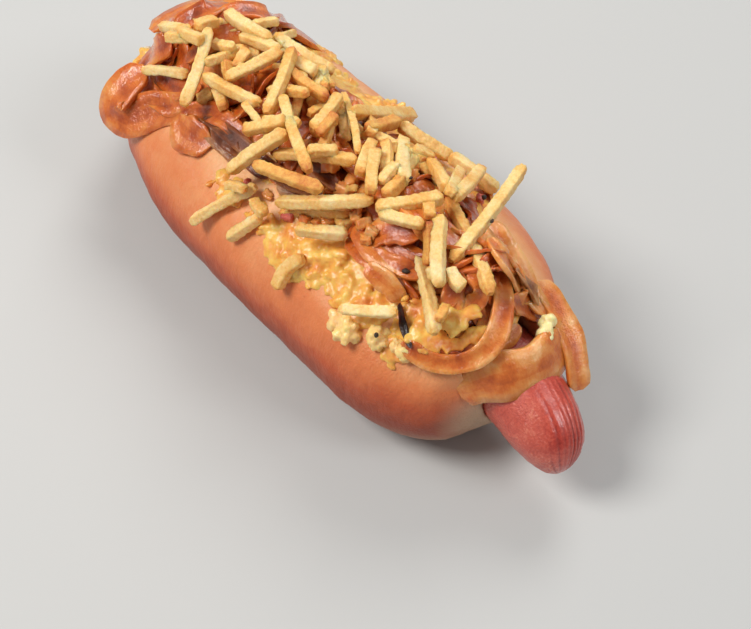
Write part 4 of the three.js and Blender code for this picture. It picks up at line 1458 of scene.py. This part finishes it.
def stick_band(ends, thickness, bow, tint, draw):
    start, end = ends
    count = 26
    shares = np.linspace(0, 1, count)
    path = start + np.outer(shares, end - start)
    along = (end - start) / np.linalg.norm(end - start)
    side = np.cross(along, (0, 0, 1))
    side /= np.linalg.norm(side)
    sway = draw.choice((-1, 1)) * bow
    path = path + np.outer(np.sin(shares * math.pi) * sway, side)
    path[:, 2] += 0.25 * bow * np.sin(shares * math.pi)
    tilt = draw.uniform(-0.5, 0.5)
    lift = np.cross(side, along)
    lie = np.tile(lift * math.cos(tilt) + side * math.sin(tilt), (count, 1))
    band = Band(path, lie, thickness, thickness, tint)
    band.width = 0.9 * thickness * (1 + draw.uniform(-0.06, 0.06) + 0.05 * np.sin(shares * 5 + draw.uniform(0, 6)))
    band.width[[0, -1]] *= 0.5
    band.width[[1, -2]] *= 0.86
    return band


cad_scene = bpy.context.scene
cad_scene.view_settings.view_transform = "Standard"
make_camera()

draw = random.Random(7)
heap = Heap()
crust = crust_material()
casing = casing_material()
cheese = cheese_material()
onion = onion_material(
    "caramelised_onion",
    [(0.3, "#6c2508"), (0.5, "#ab4915"), (0.68, "#d06d28"), (0.84, "#e09146"), (1.0, "#ecb476")],
    # The fibres of a ring run from edge to edge, about half a millimetre apart.
    1300.0,
    0.9,
    1.0,
)
dark_onion = onion_material(
    "charred_onion",
    [(0.3, "#220c05"), (0.5, "#54240f"), (0.68, "#7c4020"), (0.85, "#a1663a"), (1.0, "#c79a6c")],
    # The fibres of a strip cut lengthways run along it.
    110.0,
    6.0,
    0.35,
)
potato = potato_material()
pieces = []

bun = make_bun(crust)
sausage = make_sausage(casing)
heap.stamp(points_of(bun))
heap.stamp(points_of(sausage))
pieces += [(bun, ["bun"]), (sausage, ["sausage"])]

# Melted cheese: a bed of curds between the lips, thick patches on the left lip and what ran over.
curds = curd_tree("curds", cheese)
grains = []


def drop_curds(place, reach, thick, count, size):
    for _ in range(count):
        way, far = draw.uniform(0, 2 * math.pi), reach * math.sqrt(draw.random())
        x, y = place[0] + far * math.cos(way), place[1] + far * math.sin(way)
        if abs(heap.at(x, y) - place[2]) > 6 or place[2] < LOWEST_CHEESE:
            continue
        half = draw.uniform(0.6, 1.0) * size
        z = heap.at(x, y) + thick * draw.random() ** 2 * (1 - (far / reach) ** 2) - 0.4 * half
        turn = (draw.uniform(-0.3, 0.3), draw.uniform(-0.3, 0.3), draw.uniform(0, 6))
        grains.append(((x, y, z), (half * draw.uniform(1.2, 2.4), half, half * 0.85), turn))


for x in np.arange(-78, 76, 1.2):
    end = math.sqrt(max(1 - abs((x + 1.5) / 78.5) ** 4, 0))
    for side in (-1, 1):
        spill = 4 * math.exp(-(((x - 10) / 45) ** 2)) if side > 0 else 0
        edge = (19.5 + 2 * (side > 0) + spill + 2.4 * lumps([(x, 17 * side, 0)], 4.6, 9)[0]) * end
        for y in np.arange(0.6, max(edge, 1), 1.2):
            px, py = x + draw.uniform(-0.5, 0.5), side * y + draw.uniform(-0.5, 0.5)
            half = draw.uniform(1.2, 1.7)
            spot = np.array([px]), np.array([py])
            z = layer_top(*spot, -80, 77, 23, 2.0, 0, 4.6, 9)[0] if y < 19 else heap.at(px, py) + 0.35
            z = z - half * 0.7 + draw.uniform(-0.15, 0.3)
            if z > LOWEST_CHEESE:
                grains.append(((px, py, z), (half, half, half * 0.75), (0, 0, 0)))
for u, v, reach, thick in CHEESE_PATCHES:
    drop_curds(heap.seen_at(u, v, 0.5), reach, thick, int(1.5 * reach**2) + 5, 1.5)
layer = make_grains("melted_cheese_layer", grains, curds, {"Voxel": 0.55 * MM})
heap.stamp(points_of(layer))
pieces.append((layer, ["melted_cheese"]))

crumbly = {"Voxel": 0.4 * MM, "Unevenness": 1.6 * MM, "Grain": 1.5 * MM}
# A small pale lump on the saddle slice: pixels, heights and half sizes of its curds.
END_LUMP = [
    (548, 320, 40.5, 2.2), (543, 323, 40.0, 1.6), (547, 328, 40.5, 2.1), (542, 334, 40.0, 2.1), (547, 336, 39.5, 2.0),
    (540, 343, 39.5, 2.0), (551, 322, 40.0, 1.7),
]
lump_grains = {
    "cheese_lump_large": ((50, -29, 38), (14, 9, 8)),
    "cheese_lump_near": ((58.5, -25, 40), (8, 8, 7)),
    "cheese_lump_small": ((65, -23, 40), (9, 6, 6)),
}
for name, (place, size) in lump_grains.items():
    grains = []
    for _ in range(32):
        spot = np.array([draw.gauss(0, 1) for _ in range(3)])
        spot = spot / np.linalg.norm(spot) * draw.random() ** 0.5
        half = draw.uniform(0.16, 0.27) * min(size)
        spot = np.array(place) + spot * (np.array(size) / 2 - half)
        turn = [draw.uniform(0, 6) for _ in range(3)]
        grains.append((spot, (half * 1.3, half, half * 0.85), turn))
    lump = make_grains("soft_" + name, grains, curds, crumbly)
    set_attribute(lump, "fresh", np.full(len(lump.data.vertices), 0.5))
    heap.stamp(points_of(lump))
    pieces.append((lump, [name]))
grains = [(at_height(u, v, z), (half, half * 0.85, half * 0.85), (0, 0, u)) for u, v, z, half in END_LUMP]
lump = make_grains("soft_cheese_lump_end", grains, curds, crumbly)
set_attribute(lump, "fresh", np.full(len(lump.data.vertices), 1.0))
pieces.append((lump, ["cheese_lump_end"]))

# Onions: a dark glossy core, strands that lie over it, and the slices that the photograph shows.
bed, bed_points = make_bed("onion_heap_core", -76, 76, 16.5, 4.4, 0.5, 5.0, 1.6, 5, onion)
heap.stamp(bed_points)
slices = band_tree("onion_slices", onion)
dark_slices = band_tree("dark_onion_slices", dark_onion)
strands = []
for _ in range(120):
    x, y = draw.uniform(-70, 70), draw.uniform(-14, 14)
    radius, start = draw.uniform(7, 20), draw.uniform(0, 2 * math.pi)
    sweep = draw.uniform(0.9, 2.6) * draw.choice((-1, 1))
    turn = np.linspace(start, start + sweep, 26)
    flat = np.stack([np.cos(turn) * radius, np.sin(turn) * radius * 0.8], 1)
    flat = flat - flat.mean(0) + (x, y)
    flat[:, 1] = np.clip(flat[:, 1], -17.5, 17.5)
    flat[:, 0] = np.clip(flat[:, 0], -77, 74)
    thickness = draw.uniform(1.3, 1.8)
    path = draped(heap, flat, 0.2 * thickness)
    lie = smooth_lie(heap, path)
    band = Band(path, lie, draw.uniform(5, 8.5), thickness, draw.uniform(-0.22, 0.1), 0.6, 2 * TWIST)
    strands.append(band)
    heap.stamp(band.top())
limp = {"Thinness": 0.19, "Curl": -0.08, "Squareness": 0.95, "Unevenness": 0.4 * MM, "Grain": 3 * MM}
heap_strands = make_bands("onion_heap_strands", strands, slices, limp)
# The core is tinted darker than the strands: partly its own browner onion and partly painted shade in the gaps
# between the strands.
set_attribute(bed, "tint", np.full(len(bed.data.vertices), -0.28))
pieces.append((bed, ["onion_bed"]))
pieces.append((heap_strands, []))

for name, rows, tree in (("amber_slices", AMBER_SLICES, slices), ("charred_slices", DARK_SLICES, dark_slices)):
    bands = []
    for row in rows:
        band = band_by_pixels(heap, row)
        bands.append(band)
        heap.stamp(band.top())
    if tree == slices:
        lining = spline([at_height(u, v, z) for u, v, z in LOOP_LINING], 70)
        bands.append(Band(lining, radial(lining), 6.5, 2.0, 0.02, 0.3))
        heap.stamp(bands[-1].top())
    pieces.append((make_bands(name, bands, tree, limp), []))

grains = []
for u, v, reach, thick in FRONT_CHEESE:
    drop_curds(heap.seen_at(u, v, 0.3), reach, thick, int(2.2 * reach**2) + 6, 1.3)
smooth = {"Voxel": 0.6 * MM, "Unevenness": 0.6 * MM}
front_cheese = make_grains("cheese_in_the_front_loop", grains, curds, smooth)
heap.stamp(points_of(front_cheese))
pieces.append((front_cheese, []))

for name, row in {**ONION_SLICES, "onion_dark_strip": DARK_SLICE}.items():
    band, shape = named_slice(row)
    tree = dark_slices if row is DARK_SLICE else slices
    pieces.append((make_bands("cooked_" + name, [band], tree, shape), [name]))
    heap.stamp(band.top())

band = band_by_pixels(heap, CHARRED_STRIP)
pieces.append((make_bands("charred_strip", [band], dark_slices, limp), []))


def place_bits(name, rows, tree, flatness, values):
    grains = []
    for u, v, half in rows:
        place = heap.seen_at(u, v, half * 0.3)
        sizes = (half * draw.uniform(0.9, 1.3), half * draw.uniform(0.7, 1.0), half * flatness)
        turn = (draw.uniform(-0.5, 0.5), draw.uniform(-0.5, 0.5), draw.uniform(0, 3))
        grains.append((place, sizes, turn))
    return make_grains(name, grains, tree, values)


bits = {"Unevenness": 2.6 * MM, "Grain": 1.2 * MM}
browned = place_bits("onion_bits", BROWN_BITS, scatter_tree("onion_bits", onion, True), 0.8, bits)
set_attribute(browned, "tint", np.full(len(browned.data.vertices), 0.26))
pieces.append((browned, []))
pieces.append((place_bits("potato_crumbs", PALE_BITS, scatter_tree("crumbs", potato, True), 0.8, bits), []))
pieces.append((place_bits("red_pepper_bits", RED_BITS, scatter_tree("red_bits", casing, True), 0.8, bits), []))

# Potato sticks: a few that only the far side shows, then the tangle, then the ones that lie apart.
sticks = band_tree("potato_sticks", potato)
crisp = {"Step": 0.5 * MM, "Thinness": 0.92, "Curl": 0.0, "Squareness": 0.86, "Unevenness": 0.9 * MM,
         "Grain": 1.3 * MM}
ground = copy.deepcopy(heap)


def lay_named_stick(name):
    first, second, thickness, bow, tint = NAMED_STICKS[name]
    if name in STICK_HEIGHTS:
        ends = [at_height(*end, z) for end, z in zip((first, second), STICK_HEIGHTS[name])]
    else:
        ends = rest_stick(heap, ground, first, second, thickness)
    band = stick_band(ends, thickness, bow, tint, draw)
    heap.stamp(band.top())
    pieces.append((make_bands("fried_" + name, [band], sticks, crisp), [name]))


for name in NAMED_STICKS:
    if name not in LAID_LAST:
        lay_named_stick(name)
tangle = [stick_band([at_height(*end) for end in LEANING_STICK[:2]], *LEANING_STICK[2:], draw)]
heap.stamp(tangle[0].top())
for low, high, left, right, count in STREWN_STICKS:
    for _ in range(count):
        spot = draw.uniform(low, high), draw.uniform(left, right)
        ends = strewn_stick(heap, spot, draw.uniform(0, math.pi), draw.uniform(8, 15), 3.2)
        band = stick_band(ends, draw.uniform(2.9, 3.5), draw.uniform(0.2, 0.7), draw.uniform(0, 0.2), draw)
        tangle.append(band)
        heap.stamp(band.top())
for row in TANGLE_STICKS:
    u0, v0, u1, v1, thickness, bow, tint = row
    ends = rest_stick(heap, ground, (u0, v0), (u1, v1), thickness)
    band = stick_band(ends, thickness, bow, tint, draw)
    tangle.append(band)
    heap.stamp(band.top())
pieces.append((make_bands("fried_potato_tangle", tangle, sticks, crisp), ["potato_sticks"]))
for name in LAID_LAST:
    lay_named_stick(name)


grit = {"Unevenness": 0.9 * MM, "Grain": 0.7 * MM}
pieces.append((place_bits("black_pepper", PEPPER, scatter_tree("pepper", pepper_material(), False), 0.7, grit), []))

floor = to_object(
    "floor", [(-900, -900, 0), (900, -900, 0), (900, 900, 0), (-900, 900, 0)], [(0, 1, 2, 3)], floor_material()
)
make_light("key", (-0.25, -0.55, 0.75), (0, 0, 0.03), 0.4, 7.3, (1.0, 0.98, 0.95))
make_light("back", (-0.3, 0.5, 0.7), (0, 0, 0.03), 0.45, 3.6, (1.0, 0.99, 0.97))
make_light("fill", (0.62, 0.34, 0.66), (0, 0, 0.03), 0.35, 2.2, (0.98, 0.99, 1.0))
world = bpy.data.worlds.new("soft_room")
world.use_nodes = True
world.node_tree.nodes["Background"].inputs[0].default_value = (0.96, 0.97, 1.0, 1.0)
world.node_tree.nodes["Background"].inputs[1].default_value = 0.26
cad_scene.world = world

# Each piece hangs from the root body and hides the parts that it stands for. The pepper has none.
for piece, nodes in pieces:
    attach(piece, "root")
    if nodes:
        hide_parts(*nodes)
